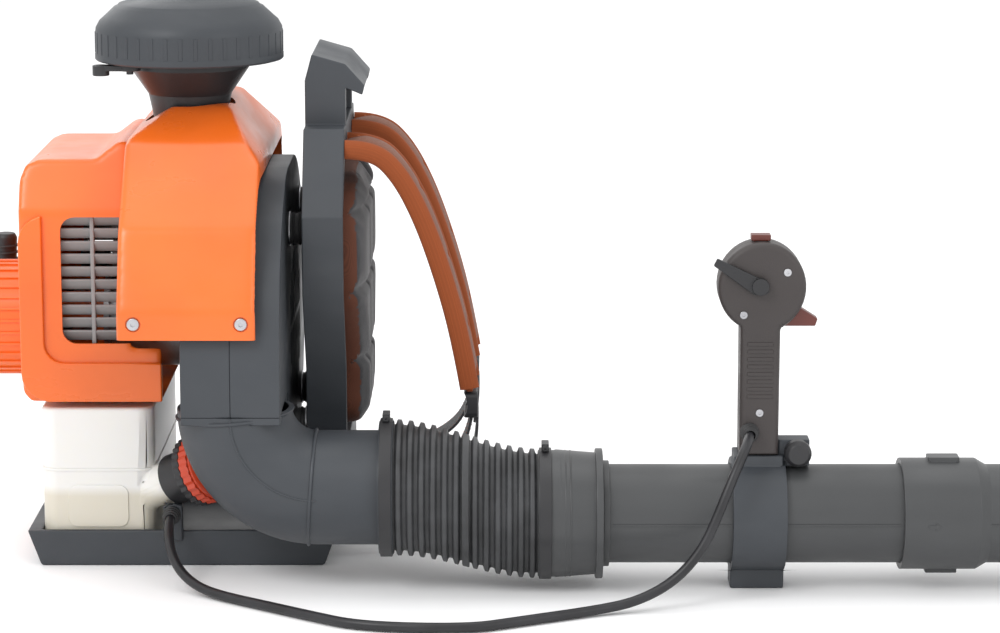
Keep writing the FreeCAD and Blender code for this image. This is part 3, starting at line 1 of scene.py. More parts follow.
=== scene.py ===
"""Looks of the petrol backpack leaf blower: shells, hose, straps, cable and materials."""
import sys
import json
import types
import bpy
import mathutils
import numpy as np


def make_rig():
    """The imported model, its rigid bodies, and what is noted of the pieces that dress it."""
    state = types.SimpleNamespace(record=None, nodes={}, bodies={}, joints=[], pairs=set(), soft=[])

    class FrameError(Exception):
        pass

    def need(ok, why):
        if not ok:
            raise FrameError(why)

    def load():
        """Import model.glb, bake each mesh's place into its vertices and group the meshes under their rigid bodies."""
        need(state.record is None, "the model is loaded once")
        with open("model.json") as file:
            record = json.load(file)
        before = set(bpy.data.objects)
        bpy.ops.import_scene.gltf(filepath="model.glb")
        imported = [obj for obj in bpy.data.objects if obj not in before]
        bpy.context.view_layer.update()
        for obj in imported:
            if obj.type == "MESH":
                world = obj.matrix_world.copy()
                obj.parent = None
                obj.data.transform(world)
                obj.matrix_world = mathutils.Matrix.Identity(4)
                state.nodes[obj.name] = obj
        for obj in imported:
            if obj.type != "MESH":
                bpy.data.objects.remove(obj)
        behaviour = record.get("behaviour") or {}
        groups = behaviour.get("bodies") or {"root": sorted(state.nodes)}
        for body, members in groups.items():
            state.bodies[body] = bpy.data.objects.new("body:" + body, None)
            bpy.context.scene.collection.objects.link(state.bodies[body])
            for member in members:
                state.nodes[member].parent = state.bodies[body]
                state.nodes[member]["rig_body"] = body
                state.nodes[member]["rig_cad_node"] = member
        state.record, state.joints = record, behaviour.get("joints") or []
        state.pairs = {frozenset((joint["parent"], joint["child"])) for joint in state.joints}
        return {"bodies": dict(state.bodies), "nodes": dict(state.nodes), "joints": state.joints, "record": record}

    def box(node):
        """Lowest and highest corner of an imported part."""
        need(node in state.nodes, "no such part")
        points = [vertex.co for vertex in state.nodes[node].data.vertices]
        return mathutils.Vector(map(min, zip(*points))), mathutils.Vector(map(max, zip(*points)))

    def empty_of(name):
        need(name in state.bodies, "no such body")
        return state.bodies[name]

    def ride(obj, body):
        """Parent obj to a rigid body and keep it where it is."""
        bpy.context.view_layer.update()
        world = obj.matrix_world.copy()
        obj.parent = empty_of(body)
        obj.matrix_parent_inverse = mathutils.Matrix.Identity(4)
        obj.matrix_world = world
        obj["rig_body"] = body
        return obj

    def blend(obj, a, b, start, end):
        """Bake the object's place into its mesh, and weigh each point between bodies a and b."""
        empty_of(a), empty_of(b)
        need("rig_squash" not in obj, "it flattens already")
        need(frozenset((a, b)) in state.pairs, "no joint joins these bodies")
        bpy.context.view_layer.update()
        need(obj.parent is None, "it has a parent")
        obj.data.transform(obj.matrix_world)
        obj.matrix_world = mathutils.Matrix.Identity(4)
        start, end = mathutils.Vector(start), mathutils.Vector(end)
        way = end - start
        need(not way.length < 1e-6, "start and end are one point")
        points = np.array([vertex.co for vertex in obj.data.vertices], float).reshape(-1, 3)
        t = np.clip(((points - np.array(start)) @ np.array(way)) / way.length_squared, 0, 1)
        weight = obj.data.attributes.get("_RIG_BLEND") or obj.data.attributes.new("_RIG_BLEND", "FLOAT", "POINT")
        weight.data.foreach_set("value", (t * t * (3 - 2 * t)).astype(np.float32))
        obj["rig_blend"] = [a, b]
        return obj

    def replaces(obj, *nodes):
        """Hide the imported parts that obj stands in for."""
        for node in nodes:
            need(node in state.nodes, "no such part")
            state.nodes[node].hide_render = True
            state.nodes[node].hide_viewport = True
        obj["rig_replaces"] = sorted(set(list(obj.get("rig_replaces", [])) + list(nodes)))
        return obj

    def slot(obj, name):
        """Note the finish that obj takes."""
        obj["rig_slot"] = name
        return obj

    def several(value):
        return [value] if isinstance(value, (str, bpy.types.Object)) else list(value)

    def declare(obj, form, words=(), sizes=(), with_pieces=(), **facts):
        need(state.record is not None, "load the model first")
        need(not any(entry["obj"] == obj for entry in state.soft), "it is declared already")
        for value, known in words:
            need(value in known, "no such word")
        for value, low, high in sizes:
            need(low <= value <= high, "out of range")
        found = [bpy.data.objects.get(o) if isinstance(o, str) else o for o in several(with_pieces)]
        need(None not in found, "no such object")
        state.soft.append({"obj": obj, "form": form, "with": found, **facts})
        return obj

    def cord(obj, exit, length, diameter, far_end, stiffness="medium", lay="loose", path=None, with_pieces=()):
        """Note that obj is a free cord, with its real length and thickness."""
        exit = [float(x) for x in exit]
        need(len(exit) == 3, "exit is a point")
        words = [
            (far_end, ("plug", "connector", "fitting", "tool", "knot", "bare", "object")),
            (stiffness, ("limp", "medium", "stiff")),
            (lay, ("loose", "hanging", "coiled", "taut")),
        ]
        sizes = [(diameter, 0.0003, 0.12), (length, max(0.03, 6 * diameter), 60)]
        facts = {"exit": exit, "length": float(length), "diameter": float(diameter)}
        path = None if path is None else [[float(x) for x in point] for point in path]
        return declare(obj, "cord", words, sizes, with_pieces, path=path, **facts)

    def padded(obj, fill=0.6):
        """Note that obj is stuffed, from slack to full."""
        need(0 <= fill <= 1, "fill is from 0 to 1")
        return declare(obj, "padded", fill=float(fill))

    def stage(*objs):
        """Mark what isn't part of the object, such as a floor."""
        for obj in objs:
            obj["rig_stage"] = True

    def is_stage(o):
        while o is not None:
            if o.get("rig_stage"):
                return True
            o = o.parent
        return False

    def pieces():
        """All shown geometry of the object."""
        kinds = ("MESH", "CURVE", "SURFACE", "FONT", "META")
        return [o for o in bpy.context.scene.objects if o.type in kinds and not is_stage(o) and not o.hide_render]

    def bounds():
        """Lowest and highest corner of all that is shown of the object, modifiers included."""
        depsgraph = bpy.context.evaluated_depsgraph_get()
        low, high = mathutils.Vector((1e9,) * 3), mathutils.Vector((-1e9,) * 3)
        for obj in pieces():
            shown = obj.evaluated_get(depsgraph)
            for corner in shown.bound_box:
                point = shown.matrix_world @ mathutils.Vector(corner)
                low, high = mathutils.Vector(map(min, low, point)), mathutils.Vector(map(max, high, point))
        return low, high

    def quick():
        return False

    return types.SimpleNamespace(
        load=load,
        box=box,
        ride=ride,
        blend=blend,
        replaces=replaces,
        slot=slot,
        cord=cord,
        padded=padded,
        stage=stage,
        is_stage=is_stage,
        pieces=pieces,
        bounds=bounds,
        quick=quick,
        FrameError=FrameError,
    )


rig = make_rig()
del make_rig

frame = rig.load()

import json
import math

import bpy
from bpy.props import FloatProperty, FloatVectorProperty, IntProperty, PointerProperty
from mathutils import Matrix, Vector

CAD_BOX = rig.bounds()

bl_info = {
    "name": "Backpack leaf blower",
    "version": (1, 0, 0),
    "blender": (4, 5, 0),
    "location": "3D View > Sidebar > Blower",
    "description": "Finishes a petrol backpack leaf blower around its engineering frame",
    "category": "Object",
}

MM = 0.001
PARALLEL = 0.999    # cosine above which an edge runs along an axis
WELD = 0.00001      # points closer than this are one
CLOTH_ANGLE = 50    # pieces smoothed past this angle are cloth and need no weighted normals


def corners(node):
    """A frame node's lowest and highest corner."""
    return [Vector(corner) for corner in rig.box(node)]


def middle_of(node):
    low, high = corners(node)
    return (low + high) / 2


TUBE = middle_of("nozzle")
CRANK = middle_of("flywheel")


# ---------------------------------------------------------------- settings
def distance_setting(name, description, default):
    return FloatProperty(name=name, description=description, default=default, subtype="DISTANCE")


def colour_setting(name, description, default):
    return FloatVectorProperty(name=name, description=description, default=default, subtype="COLOR")


class ShellSettings(bpy.types.PropertyGroup):
    """Sizes of the moulded shells."""
    cover_edge: distance_setting("Cover edge", "Rounding of the orange covers", 0.011)
    wall: distance_setting("Wall", "Thickness of the orange covers", 0.003)
    slots: IntProperty(name="Slots", description="Cooling slots in the engine cover's roof", default=6)


class HoseSettings(bpy.types.PropertyGroup):
    """Sizes of the flexible hose and the throttle cable."""
    pitch: distance_setting("Pitch", "Distance between the hose's ridges", 0.0094)
    depth: distance_setting("Depth", "Depth of the hose's corrugations", 0.0042)
    cable: distance_setting("Cable", "Diameter of the throttle cable", 0.008)


class SoftSettings(bpy.types.PropertyGroup):
    """Sizes of the harness."""
    strap_width: distance_setting("Strap width", "Width of a padded strap", 0.056)
    strap_crown: distance_setting("Strap crown", "Thickness of a strap at its middle", 0.0175)
    binding: distance_setting("Binding", "Radius of the strap's edge binding", 0.0036)
    pad_swell: distance_setting("Pad swell", "How far the back pad may swell", 0.006)


class ColourSettings(bpy.types.PropertyGroup):
    """The machine's main colours."""
    shell: colour_setting("Shell", "Orange of the covers", (0.76, 0.132, 0.010))
    frame: colour_setting("Frame", "Dark grey of the mouldings", (0.036, 0.041, 0.048))
    tube: colour_setting("Tube", "Grey of the blower tube", (0.046, 0.048, 0.050))
    binding: colour_setting("Binding", "Orange of the strap's binding", (0.25, 0.052, 0.008))


# ---------------------------------------------------------------- materials
def new_material(name, colour, roughness, **sockets):
    """A material with its shader's constants set on the shader itself."""
    material = bpy.data.materials.new(name)
    material.use_nodes = True
    shader = material.node_tree.nodes["Principled BSDF"]
    shader.inputs["Base Color"].default_value = (*colour, 1)
    shader.inputs["Roughness"].default_value = roughness
    for socket, value in sockets.items():
        shader.inputs[socket.replace("_", " ")].default_value = value
    material.diffuse_color = (*colour, 1)
    return material, material.node_tree, shader


def position(tree, stretch=(1, 1, 1)):
    """Object coordinates, stretched along the axes."""
    coordinates = tree.nodes.new("ShaderNodeTexCoord")
    mapping = tree.nodes.new("ShaderNodeMapping")
    mapping.inputs["Scale"].default_value = stretch
    tree.links.new(coordinates.outputs["Object"], mapping.inputs["Vector"])
    return mapping.outputs["Vector"]


def noise(tree, scale, detail=3, stretch=(1, 1, 1)):
    """A cloudy pattern from 0 to 1."""
    texture = tree.nodes.new("ShaderNodeTexNoise")
    texture.inputs["Scale"].default_value = scale
    texture.inputs["Detail"].default_value = detail
    tree.links.new(position(tree, stretch), texture.inputs["Vector"])
    return texture.outputs["Fac"]


def spread(tree, value, low, high, start=0.35, stop=0.65):
    """Maps a pattern's middle range to a range of values."""
    remap = tree.nodes.new("ShaderNodeMapRange")
    for socket, number in (("From Min", start), ("From Max", stop), ("To Min", low), ("To Max", high)):
        remap.inputs[socket].default_value = number
    tree.links.new(value, remap.inputs["Value"])
    return remap.outputs["Result"]


def tint(tree, shader, factor, one, two):
    """Mixes the base colour between two colours."""
    mix = tree.nodes.new("ShaderNodeMix")
    mix.data_type = "RGBA"
    mix.inputs["A"].default_value = (*one, 1)
    mix.inputs["B"].default_value = (*two, 1)
    tree.links.new(factor, mix.inputs["Factor"])
    tree.links.new(mix.outputs["Result"], shader.inputs["Base Color"])


def relief(tree, shader, height, depth, strength):
    """Raises a pattern as fine relief."""
    bump = tree.nodes.new("ShaderNodeBump")
    bump.inputs["Distance"].default_value = depth
    bump.inputs["Strength"].default_value = strength
    tree.links.new(height, bump.inputs["Height"])
    tree.links.new(bump.outputs["Normal"], shader.inputs["Normal"])


def shade(tone, factor):
    """A colour made darker or lighter."""
    return tuple(min(1, channel * factor) for channel in tone)


def moulded(name, colour, roughness, grain=900, depth=0.00012, coat=0.0):
    """Moulded plastic: fine spark-eroded grain, faint flow marks and dusty low spots."""
    material, tree, shader = new_material(name, colour, roughness, Coat_Weight=coat, Coat_Roughness=0.22)
    relief(tree, shader, noise(tree, grain, 4), depth, 0.55)
    marks = noise(tree, 14, 5, (1, 1, 2.2))
    tree.links.new(spread(tree, marks, roughness - 0.07, roughness + 0.1), shader.inputs["Roughness"])
    tint(tree, shader, spread(tree, noise(tree, 6.5, 6), 0, 1), shade(colour, 0.9), shade(colour, 1.12))
    return material


def tank_plastic():
    """Milky blow-moulded tank with fuel showing darker at the bottom."""
    material, tree, shader = new_material("milky_tank_plastic", (0.80, 0.79, 0.75), 0.38,
                                          Transmission_Weight=0.12, Subsurface_Weight=0.25, IOR=1.5)
    shader.inputs["Subsurface Radius"].default_value = (0.02, 0.018, 0.012)
    relief(tree, shader, noise(tree, 260, 3), 0.00008, 0.4)
    split = tree.nodes.new("ShaderNodeSeparateXYZ")
    tree.links.new(position(tree), split.inputs["Vector"])
    level = spread(tree, split.outputs["Z"], 0, 1, 0.058, 0.066)
    tint(tree, shader, level, (0.70, 0.66, 0.56), (0.84, 0.83, 0.80))
    return material


def rubber(name, colour=(0.02, 0.02, 0.021), roughness=0.62):
    """Matt rubber with bloom and fine pores."""
    material, tree, shader = new_material(name, colour, roughness)
    relief(tree, shader, noise(tree, 1500, 3), 0.00008, 0.5)
    tint(tree, shader, spread(tree, noise(tree, 30, 5), 0, 1), shade(colour, 0.8), shade(colour, 1.7))
    return material


def weave(name, tone, light, scale, sheen=0.35):
    """Plain-woven cloth: crossed threads raised in turn and painted lighter where they rise, a painted highlight on
    the thread tops, with a soft sheen.
    """
    # light is the painted highlight colour of the raised threads; by default it is the tone made 35% lighter
    light = light or shade(tone, 1.35)
    material, tree, shader = new_material(name, tone, 0.85, Sheen_Weight=sheen, Sheen_Roughness=0.5)
    source = tree.nodes.new("ShaderNodeTexCoord").outputs["Object"]
    heights = []
    for direction in ("X", "Y"):
        wave = tree.nodes.new("ShaderNodeTexWave")
        wave.bands_direction = direction
        wave.inputs["Scale"].default_value = scale
        wave.inputs["Distortion"].default_value = 0.6
        wave.inputs["Detail Scale"].default_value = 2
        tree.links.new(source, wave.inputs["Vector"])
        heights.append(wave.outputs["Fac"])
    threads = tree.nodes.new("ShaderNodeMath")
    threads.operation = "MULTIPLY"
    tree.links.new(heights[0], threads.inputs[0])
    tree.links.new(heights[1], threads.inputs[1])
    relief(tree, shader, threads.outputs["Value"], 0.0003, 0.4)
    # painted highlight: the colour runs from the cloth's tone between the threads to light on their raised tops
    tint(tree, shader, threads.outputs["Value"], tone, light)
    return material


def mottled(name, tone, roughness, metallic, bumps, grime, dark, light):
    """Metal or paper with a fine relief (bumps) and cloudy patches (grime) between two colours."""
    finish, tree, shader = new_material(name, tone, roughness, Metallic=metallic)
    pattern, depth, strength = bumps
    relief(tree, shader, noise(tree, *pattern), depth, strength)
    tint(tree, shader, spread(tree, noise(tree, *grime), 0, 1), dark, light)
    return finish


def cast_alloy():
    """Sand-cast aluminium: pitted, with grey oxide in the low spots and uneven gloss."""
    finish = mottled("cast_alloy", (0.55, 0.55, 0.56), 0.42, 0.95, ((420, 5), 0.00025, 0.6), (24, 6),
                   (0.34, 0.34, 0.35), (0.60, 0.60, 0.61))
    tree = finish.node_tree
    gloss = spread(tree, noise(tree, 60, 4), 0.32, 0.55)
    tree.links.new(gloss, tree.nodes["Principled BSDF"].inputs["Roughness"])
    return finish


# Each kind of finish: what makes it and its numbers. A word in place of a colour is one of the settings.
FINISHES = {
    "orange_shell": (moulded, "orange_shell_plastic", "shell", 0.34, 700, 0.00005, 0.22),
    "dark_moulding": (moulded, "dark_frame_plastic", "frame", 0.5),
    "tube_plastic": (moulded, "tube_plastic", "tube", 0.44, 1200, 0.00006, 0.06),
    "black_plastic": (moulded, "black_plastic", (0.018, 0.018, 0.02), 0.42),
    "grip": (moulded, "grip_plastic", (0.04, 0.033, 0.032), 0.46, 1400, 0.0002),
    "grille": (moulded, "grille_plastic", (0.25, 0.25, 0.25), 0.5),
    "red_plastic": (moulded, "red_plastic", (0.50, 0.045, 0.012), 0.36, 900, 0.00005, 0.15),
    "lever": (moulded, "lever_plastic", (0.115, 0.022, 0.014), 0.4, 900, 0.00005, 0.15),
    "tank_plastic": (tank_plastic,),
    "rubber_black": (rubber, "black_rubber"),
    "hose": (rubber, "hose_rubber", (0.030, 0.031, 0.033), 0.5),
    "cable_sheath": (rubber, "cable_sheath", (0.012, 0.012, 0.014), 0.4),
    # In the woven finishes the second colour is the painted highlight on the raised threads; None makes it from the
    # first colour.
    "pad_fabric": (weave, "pad_cloth", (0.022, 0.022, 0.025), (0.06, 0.06, 0.066), 560),
    "strap_fabric": (weave, "strap_cloth", (0.13, 0.034, 0.010), (0.26, 0.07, 0.018), 700, 0.12),
    "webbing": (weave, "webbing_cloth", (0.015, 0.015, 0.017), (0.05, 0.05, 0.055), 800),
    "binding": (weave, "binding_cloth", "binding", None, 900, 0.08),
    "border": (weave, "pad_border_cloth", (0.085, 0.024, 0.010), (0.16, 0.045, 0.018), 900, 0.1),
    "thread": (weave, "stitching_thread", (0.45, 0.10, 0.03), (0.62, 0.2, 0.06), 900),
    "cast_alloy": (cast_alloy,),
    "steel": (mottled, "turned_steel", (0.50, 0.50, 0.52), 0.3, 1.0,
              ((300, 3, (14, 1, 1)), 0.00006, 0.4), (50, 5), (0.40, 0.40, 0.42), (0.56, 0.56, 0.58)),
    "heated": (mottled, "heated_steel", (0.22, 0.19, 0.17), 0.5, 0.9,
               ((200, 5), 0.00015, 0.5), (18, 6), (0.13, 0.10, 0.085), (0.30, 0.26, 0.22)),
    "filter_paper": (mottled, "filter_paper", (0.62, 0.50, 0.30), 0.9, 0.0,
                     ((600, 4), 0.0002, 0.6), (40, 3), (0.50, 0.39, 0.22), (0.68, 0.57, 0.37)),
}
MADE = {}


def material(kind):
    """Each material is made once and shared."""
    if kind not in MADE:
        maker, *numbers = FINISHES[kind]
        if len(numbers) > 1 and isinstance(numbers[1], str):
            numbers[1] = tuple(getattr(bpy.context.scene.blower_colours, numbers[1]))
        MADE[kind] = maker(*numbers)
    return MADE[kind]


# ---------------------------------------------------------------- modelling helpers
def clear_selection():
    """Leaves edit mode and deselects everything."""
    if bpy.context.mode != "OBJECT":
        bpy.ops.object.mode_set(mode="OBJECT")
    bpy.ops.object.select_all(action="DESELECT")


def select(*pieces):
    """Selects pieces alone, the first one active."""
    clear_selection()
    for piece in pieces:
        piece.select_set(True)
    bpy.context.view_layer.objects.active = pieces[0]


def applied(piece):
    """Puts a piece's place, turn and scale into its mesh."""
    select(piece)
    bpy.ops.object.transform_apply(location=True, rotation=True, scale=True)
    return piece


def modify(piece, kind, **settings):
    """Adds a modifier, sets it and applies it."""
    select(piece)
    modifier = piece.modifiers.new(kind.title(), kind)
    for name, value in settings.items():
        setattr(modifier, name, value)
    bpy.ops.object.modifier_apply(modifier=modifier.name)
    return piece


def edit(piece, *steps):
    """Runs edit-mode steps on the whole of a piece."""
    select(piece)
    bpy.ops.object.mode_set(mode="EDIT")
    bpy.ops.mesh.select_all(action="SELECT")
    for step in steps:
        step()
    bpy.ops.object.mode_set(mode="OBJECT")
    return piece


def outward():
    """Turns every face outwards."""
    bpy.ops.mesh.select_all(action="SELECT")
    bpy.ops.mesh.normals_make_consistent(inside=False)


def weld():
    """Merges points that lie together."""
    bpy.ops.mesh.select_all(action="SELECT")
    bpy.ops.mesh.remove_doubles(threshold=WELD)


def unpicked():
    """Edge selection with nothing selected."""
    bpy.ops.mesh.select_mode(type="EDGE")
    bpy.ops.mesh.select_all(action="DESELECT")


def bevel_edges(piece, wanted, width, segments, clamp=False):
    """Rounds the edges for which wanted(middle, direction) holds."""
    edit(piece, unpicked)
    points = piece.data.vertices
    for edge in piece.data.edges:
        one, two = (points[index].co for index in edge.vertices)
        edge.select = bool(wanted((one + two) / 2, (two - one).normalized()))
    bpy.ops.object.mode_set(mode="EDIT")
    bpy.ops.mesh.bevel(offset=width, segments=segments, affect="EDGES", clamp_overlap=clamp)
    bpy.ops.object.mode_set(mode="OBJECT")
    return piece


def piece_from(name, points, edges=(), faces=()):
    """A new piece from its points, edges and faces."""
    mesh = bpy.data.meshes.new(name)
    mesh.from_pydata(points, edges, faces)
    return linked(name, mesh)


def linked(name, mesh):
    """A new piece that holds a mesh or a curve."""
    piece = bpy.data.objects.new(name, mesh)
    bpy.context.collection.objects.link(piece)
    return piece


def facing(axis):
    """The turn that lays a piece's Z axis along a direction."""
    return Vector(axis).to_track_quat("Z", "Y").to_euler()


def block(low, high):
    """A box between two corners."""
    low, high = Vector(low), Vector(high)
    clear_selection()
    bpy.ops.mesh.primitive_cube_add(size=1, location=(low + high) / 2, scale=high - low)
    return applied(bpy.context.object)


def cylinder(start, end, radius, sides=48):
    """A cylinder between two points."""
    start, end = Vector(start), Vector(end)
    clear_selection()
    bpy.ops.mesh.primitive_cone_add(vertices=sides, radius1=radius, radius2=radius,
                                    depth=(end - start).length, location=(start + end) / 2,
                                    rotation=facing(end - start))
    return applied(bpy.context.object)


def ring_of(centre, axis, minor, major, steps=(96, 8)):
    """A round ring about an axis; steps run round the ring and round its section."""
    clear_selection()
    bpy.ops.mesh.primitive_torus_add(location=centre, rotation=facing(axis), major_radius=major,
                                     minor_radius=minor, major_segments=steps[0], minor_segments=steps[1])
    return applied(bpy.context.object)


def outline_plate(points, plane, low, high, name="plate"):
    """A flat outline in the plane XZ, YZ or XY, extruded between two depths across it."""
    def place(u, v, depth):
        return {"XZ": (u, depth, v), "YZ": (depth, u, v), "XY": (u, v, depth)}[plane]

    piece = piece_from(name, [place(u, v, low) for u, v in points], faces=[tuple(range(len(points)))])
    shift = Vector(place(0, 0, high)) - Vector(place(0, 0, low))

    def thicken():
        bpy.ops.mesh.extrude_region_move(TRANSFORM_OT_translate={"value": shift})

    return edit(piece, thicken, outward)


def turned(profile, centre, axis="Z", steps=96, name="turned"):
    """A profile of (radius, height) points spun round an axis through a centre."""
    links = [(index, index + 1) for index in range(len(profile) - 1)]
    piece = piece_from(name, [(radius, 0, height) for radius, height in profile], faces=links)
    modify(piece, "SCREW", angle=math.tau, steps=steps, render_steps=steps, axis="Z",
           use_smooth_shade=False, use_merge_vertices=True, merge_threshold=WELD)
    edit(piece, outward)
    turns = {"Z": (0, 0, 0), "X": (0, math.pi / 2, 0)}
    piece.rotation_euler = turns[axis] if axis in turns else facing(axis)
    piece.location = centre
    return applied(piece)


def cut_by(piece, *cutters, operation="DIFFERENCE"):
    """Cuts a piece by others, which are used up."""
    for cutter in cutters:
        modify(piece, "BOOLEAN", operation=operation, object=cutter, solver="EXACT")
        bpy.data.objects.remove(cutter)
    return piece


def soften(piece, width, segments=3, angle=30):
    """Rounds every edge sharper than an angle."""
    return modify(piece, "BEVEL", width=width, segments=segments, limit_method="ANGLE",
                  angle_limit=math.radians(angle), use_clamp_overlap=False, miter_outer="MITER_ARC")


def joined(name, *pieces):
    """One piece from several, under a name."""
    select(*pieces)
    if len(pieces) > 1:
        bpy.ops.object.join()
    piece = bpy.context.object
    piece.name = name
    piece.data.name = name
    return piece


def smooth(piece, angle=35):
    """Smooth shading, but for edges sharper than an angle."""
    select(piece)
    bpy.ops.object.shade_smooth_by_angle(angle=math.radians(angle))
    return piece


def smooth_all(pieces, angle=35):
    return [smooth(piece, angle) for piece in pieces]


def paint(piece, kind):
    piece.data.materials.clear()
    piece.data.materials.append(material(kind))


def hand_over(pieces, name, body, kind, nodes=(), angle=35, slot=None):
    """Joins, names, smooths and paints a finished piece and ties it to the frame."""
    piece = joined(name, *pieces) if isinstance(pieces, list) else joined(name, pieces)
    smooth(piece, angle)
    if angle < CLOTH_ANGLE:
        modify(piece, "WEIGHTED_NORMAL", mode="FACE_AREA", weight=60, keep_sharp=True)
    if kind:
        paint(piece, kind)
    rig.ride(piece, body)
    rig.slot(piece, slot or kind)
    if nodes:
        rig.replaces(piece, *nodes)
    return piece


def hand_over_bending(piece, node, kind, near, far, start, end):
    """Smooths and paints a piece that bends between two bodies, and ties it to both."""
    paint(smooth(piece, 60), kind)
    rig.blend(piece, near, far, start, end)
    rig.slot(piece, slot_of(node))
    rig.replaces(piece, node)


def copy_of(node):
    """A copy of a frame node with its triangles merged into faces."""
    select(frame["nodes"][node])
    bpy.ops.object.duplicate()
    piece = bpy.context.object
    piece.parent = None
    piece.matrix_world = Matrix()
    for key in list(piece.keys()):
        del piece[key]

    def merge_faces():
        bpy.ops.mesh.remove_doubles(threshold=0.000005)
        bpy.ops.mesh.dissolve_limited(angle_limit=math.radians(0.6))

    return edit(piece, merge_faces)


def body_of(node):
    bodies = frame["record"]["behaviour"]["bodies"]
    return next(body for body, nodes in bodies.items() if node in nodes)


def slot_of(node):
    return next(part["material_slot"] for part in frame["record"]["subparts"] if part["node"] == node)


def dress(node, kind, edge=None, segments=2, extra=(), angle=30):
    """A finished copy of a frame node, with its edges rounded and details joined to it."""
    piece = copy_of(node)
    if edge:
        soften(piece, edge, segments)
    pieces = [piece, *smooth_all(extra)]
    return hand_over(pieces, node + "_finished", body_of(node), kind, [node], angle, slot_of(node))


# ---------------------------------------------------------------- stage
# Soft square lights: place, power in watts and breadth in metres.
LIGHTS = {
    "key": ((-1.6, -2.2, 2.6), 44, 1.4), "fill": ((2.6, -2.4, 1.8), 15, 2.0),
    "top": ((0.2, 0.3, 3.2), 20, 2.4), "back": ((-1.2, 2.6, 2.0), 14, 1.8),
}
LIT_POINT = Vector((0.25, -0.05, 0.2))
CAMERA_PLACE, CAMERA_TILT, CAMERA_LENS = (0.255, -2.7486, 0.727), 79, 116.5


class BLOWER_OT_stage(bpy.types.Operator):
    """Sets the pale floor, the soft studio lights and the camera"""
    bl_idname = "blower.stage"
    bl_label = "Stage"

    def execute(self, context):
        clear_selection()
        bpy.ops.mesh.primitive_grid_add(x_subdivisions=4, y_subdivisions=4, size=60,
                                        location=(0, 0, -0.0004))
        floor = applied(context.object)
        floor.name = "studio_floor"
        finish, tree, shader = new_material("studio_floor", (0.96, 0.96, 0.965), 0.9)
        relief(tree, shader, noise(tree, 90, 3), 0.0002, 0.1)
        floor.data.materials.append(finish)
        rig.stage(floor)
        self.world()
        for name, (place, power, breadth) in LIGHTS.items():
            bpy.ops.object.light_add(type="AREA", location=place)
            light = context.object
            light.name = name + "_light"
            light.data.energy = power
            light.data.size = breadth
            aim = LIT_POINT - light.location
            light.rotation_euler = aim.to_track_quat("-Z", "Y").to_euler()
        clear_selection()
        bpy.ops.object.camera_add(location=CAMERA_PLACE, rotation=(math.radians(CAMERA_TILT), 0, 0))
        camera = context.object
        camera.data.lens = CAMERA_LENS
        camera.data.sensor_width = 36
        context.scene.camera = camera
        return {"FINISHED"}

    def world(self):
        """An even pale sky."""
        world = bpy.data.worlds.new("studio")
        world.use_nodes = True
        sky = world.node_tree.nodes["Background"]
        sky.inputs["Color"].default_value = (1, 1, 1, 1)
        sky.inputs["Strength"].default_value = 1.04
        bpy.context.scene.world = world
        bpy.context.scene.view_settings.view_transform = "Standard"


# ---------------------------------------------------------------- frame nodes
# Pieces that keep their frame shapes. The hose clamps are copied from here once they are smoothed.
PLAIN_FINISHES = {
    "air_filter_base": "black_plastic", "bearings_and_seals": "steel", "carburettor": "cast_alloy",
    "crankcase_front": "cast_alloy", "crankcase_rear": "cast_alloy", "cylinder": "cast_alloy",
    "filter_element": "filter_paper", "hose_clamp_rear": "black_plastic",
    "hose_clamp_front": "black_plastic", "housing_screws": "steel", "ignition_coil": "black_plastic",
    "intake_ducts": "rubber_black", "muffler": "heated", "recoil_spring": "steel", "spark_plug": "steel",
    "crankshaft": "steel", "flywheel": "cast_alloy", "fan_impeller": "black_plastic",
    "piston": "cast_alloy", "connecting_rod": "steel", "starter_pulley": "black_plastic",
}


class BLOWER_OT_inner_pieces(bpy.types.Operator):
    """Gives the engine's inner pieces, which keep their frame shapes, their metals and plastics"""
    bl_idname = "blower.inner_pieces"
    bl_label = "Inner pieces"

    def execute(self, context):
        for node, kind in PLAIN_FINISHES.items():
            paint(frame["nodes"][node], kind)
            smooth(frame["nodes"][node], 30)
        return {"FINISHED"}


# Mouldings that only need their edges rounded: finish and rounding.
MOULDED_FINISHES = {
    "base_frame": ("dark_moulding", 0.0016), "backplate": ("dark_moulding", 0.0012),
    "fan_housing_front": ("dark_moulding", 0.001), "fan_housing_rear": ("dark_moulding", 0.001),
    "base_feet": ("rubber_black", 0.0008), "handle_clamp": ("dark_moulding", 0.0009),
    "filter_knob": ("black_plastic", 0.0007), "primer_bulb": ("tank_plastic", None),
    "choke_lever": ("black_plastic", 0.0006), "trigger": ("lever", 0.0009),
    "cruise_lever": ("black_plastic", 0.0009), "stop_switch": ("lever", 0.0006),
    "clamp_knob": ("black_plastic", 0.0009),
}


class BLOWER_OT_mouldings(bpy.types.Operator):
    """Rounds the edges of the plain mouldings, from copies of the frame's own"""
    bl_idname = "blower.mouldings"
    bl_label = "Mouldings"

    def execute(self, context):
        for node, (kind, edge) in MOULDED_FINISHES.items():
            dress(node, kind, edge)
        return {"FINISHED"}


# ---------------------------------------------------------------- orange covers and filter
# How finely the covers are melted, and how often their points are evened out.
ENGINE_VOXEL, ROUNDS_PER_METRE = 0.0028, 1400
REAR_VOXEL, REAR_ROUNDS = 0.0026, 8


def round_edges(piece, axis, width, wanted=None):
    """Rounds a prism's edges along one axis, as its outline's corners."""
    def chosen(middle, direction):
        return abs(direction[axis]) > PARALLEL and (not wanted or wanted(middle))

    return bevel_edges(piece, chosen, width, 6, True)


def melted(piece, voxel, rounds):
    """A form with all its edges run together softly, as in a thick moulding."""
    modify(piece, "REMESH", mode="VOXEL", voxel_size=voxel)
    return modify(piece, "SMOOTH", factor=0.5, iterations=rounds)


def mirrored(points):
    """Both halves of an outline from the half with a positive first coordinate."""
    return points + [(-u, v) for u, v in reversed(points)]


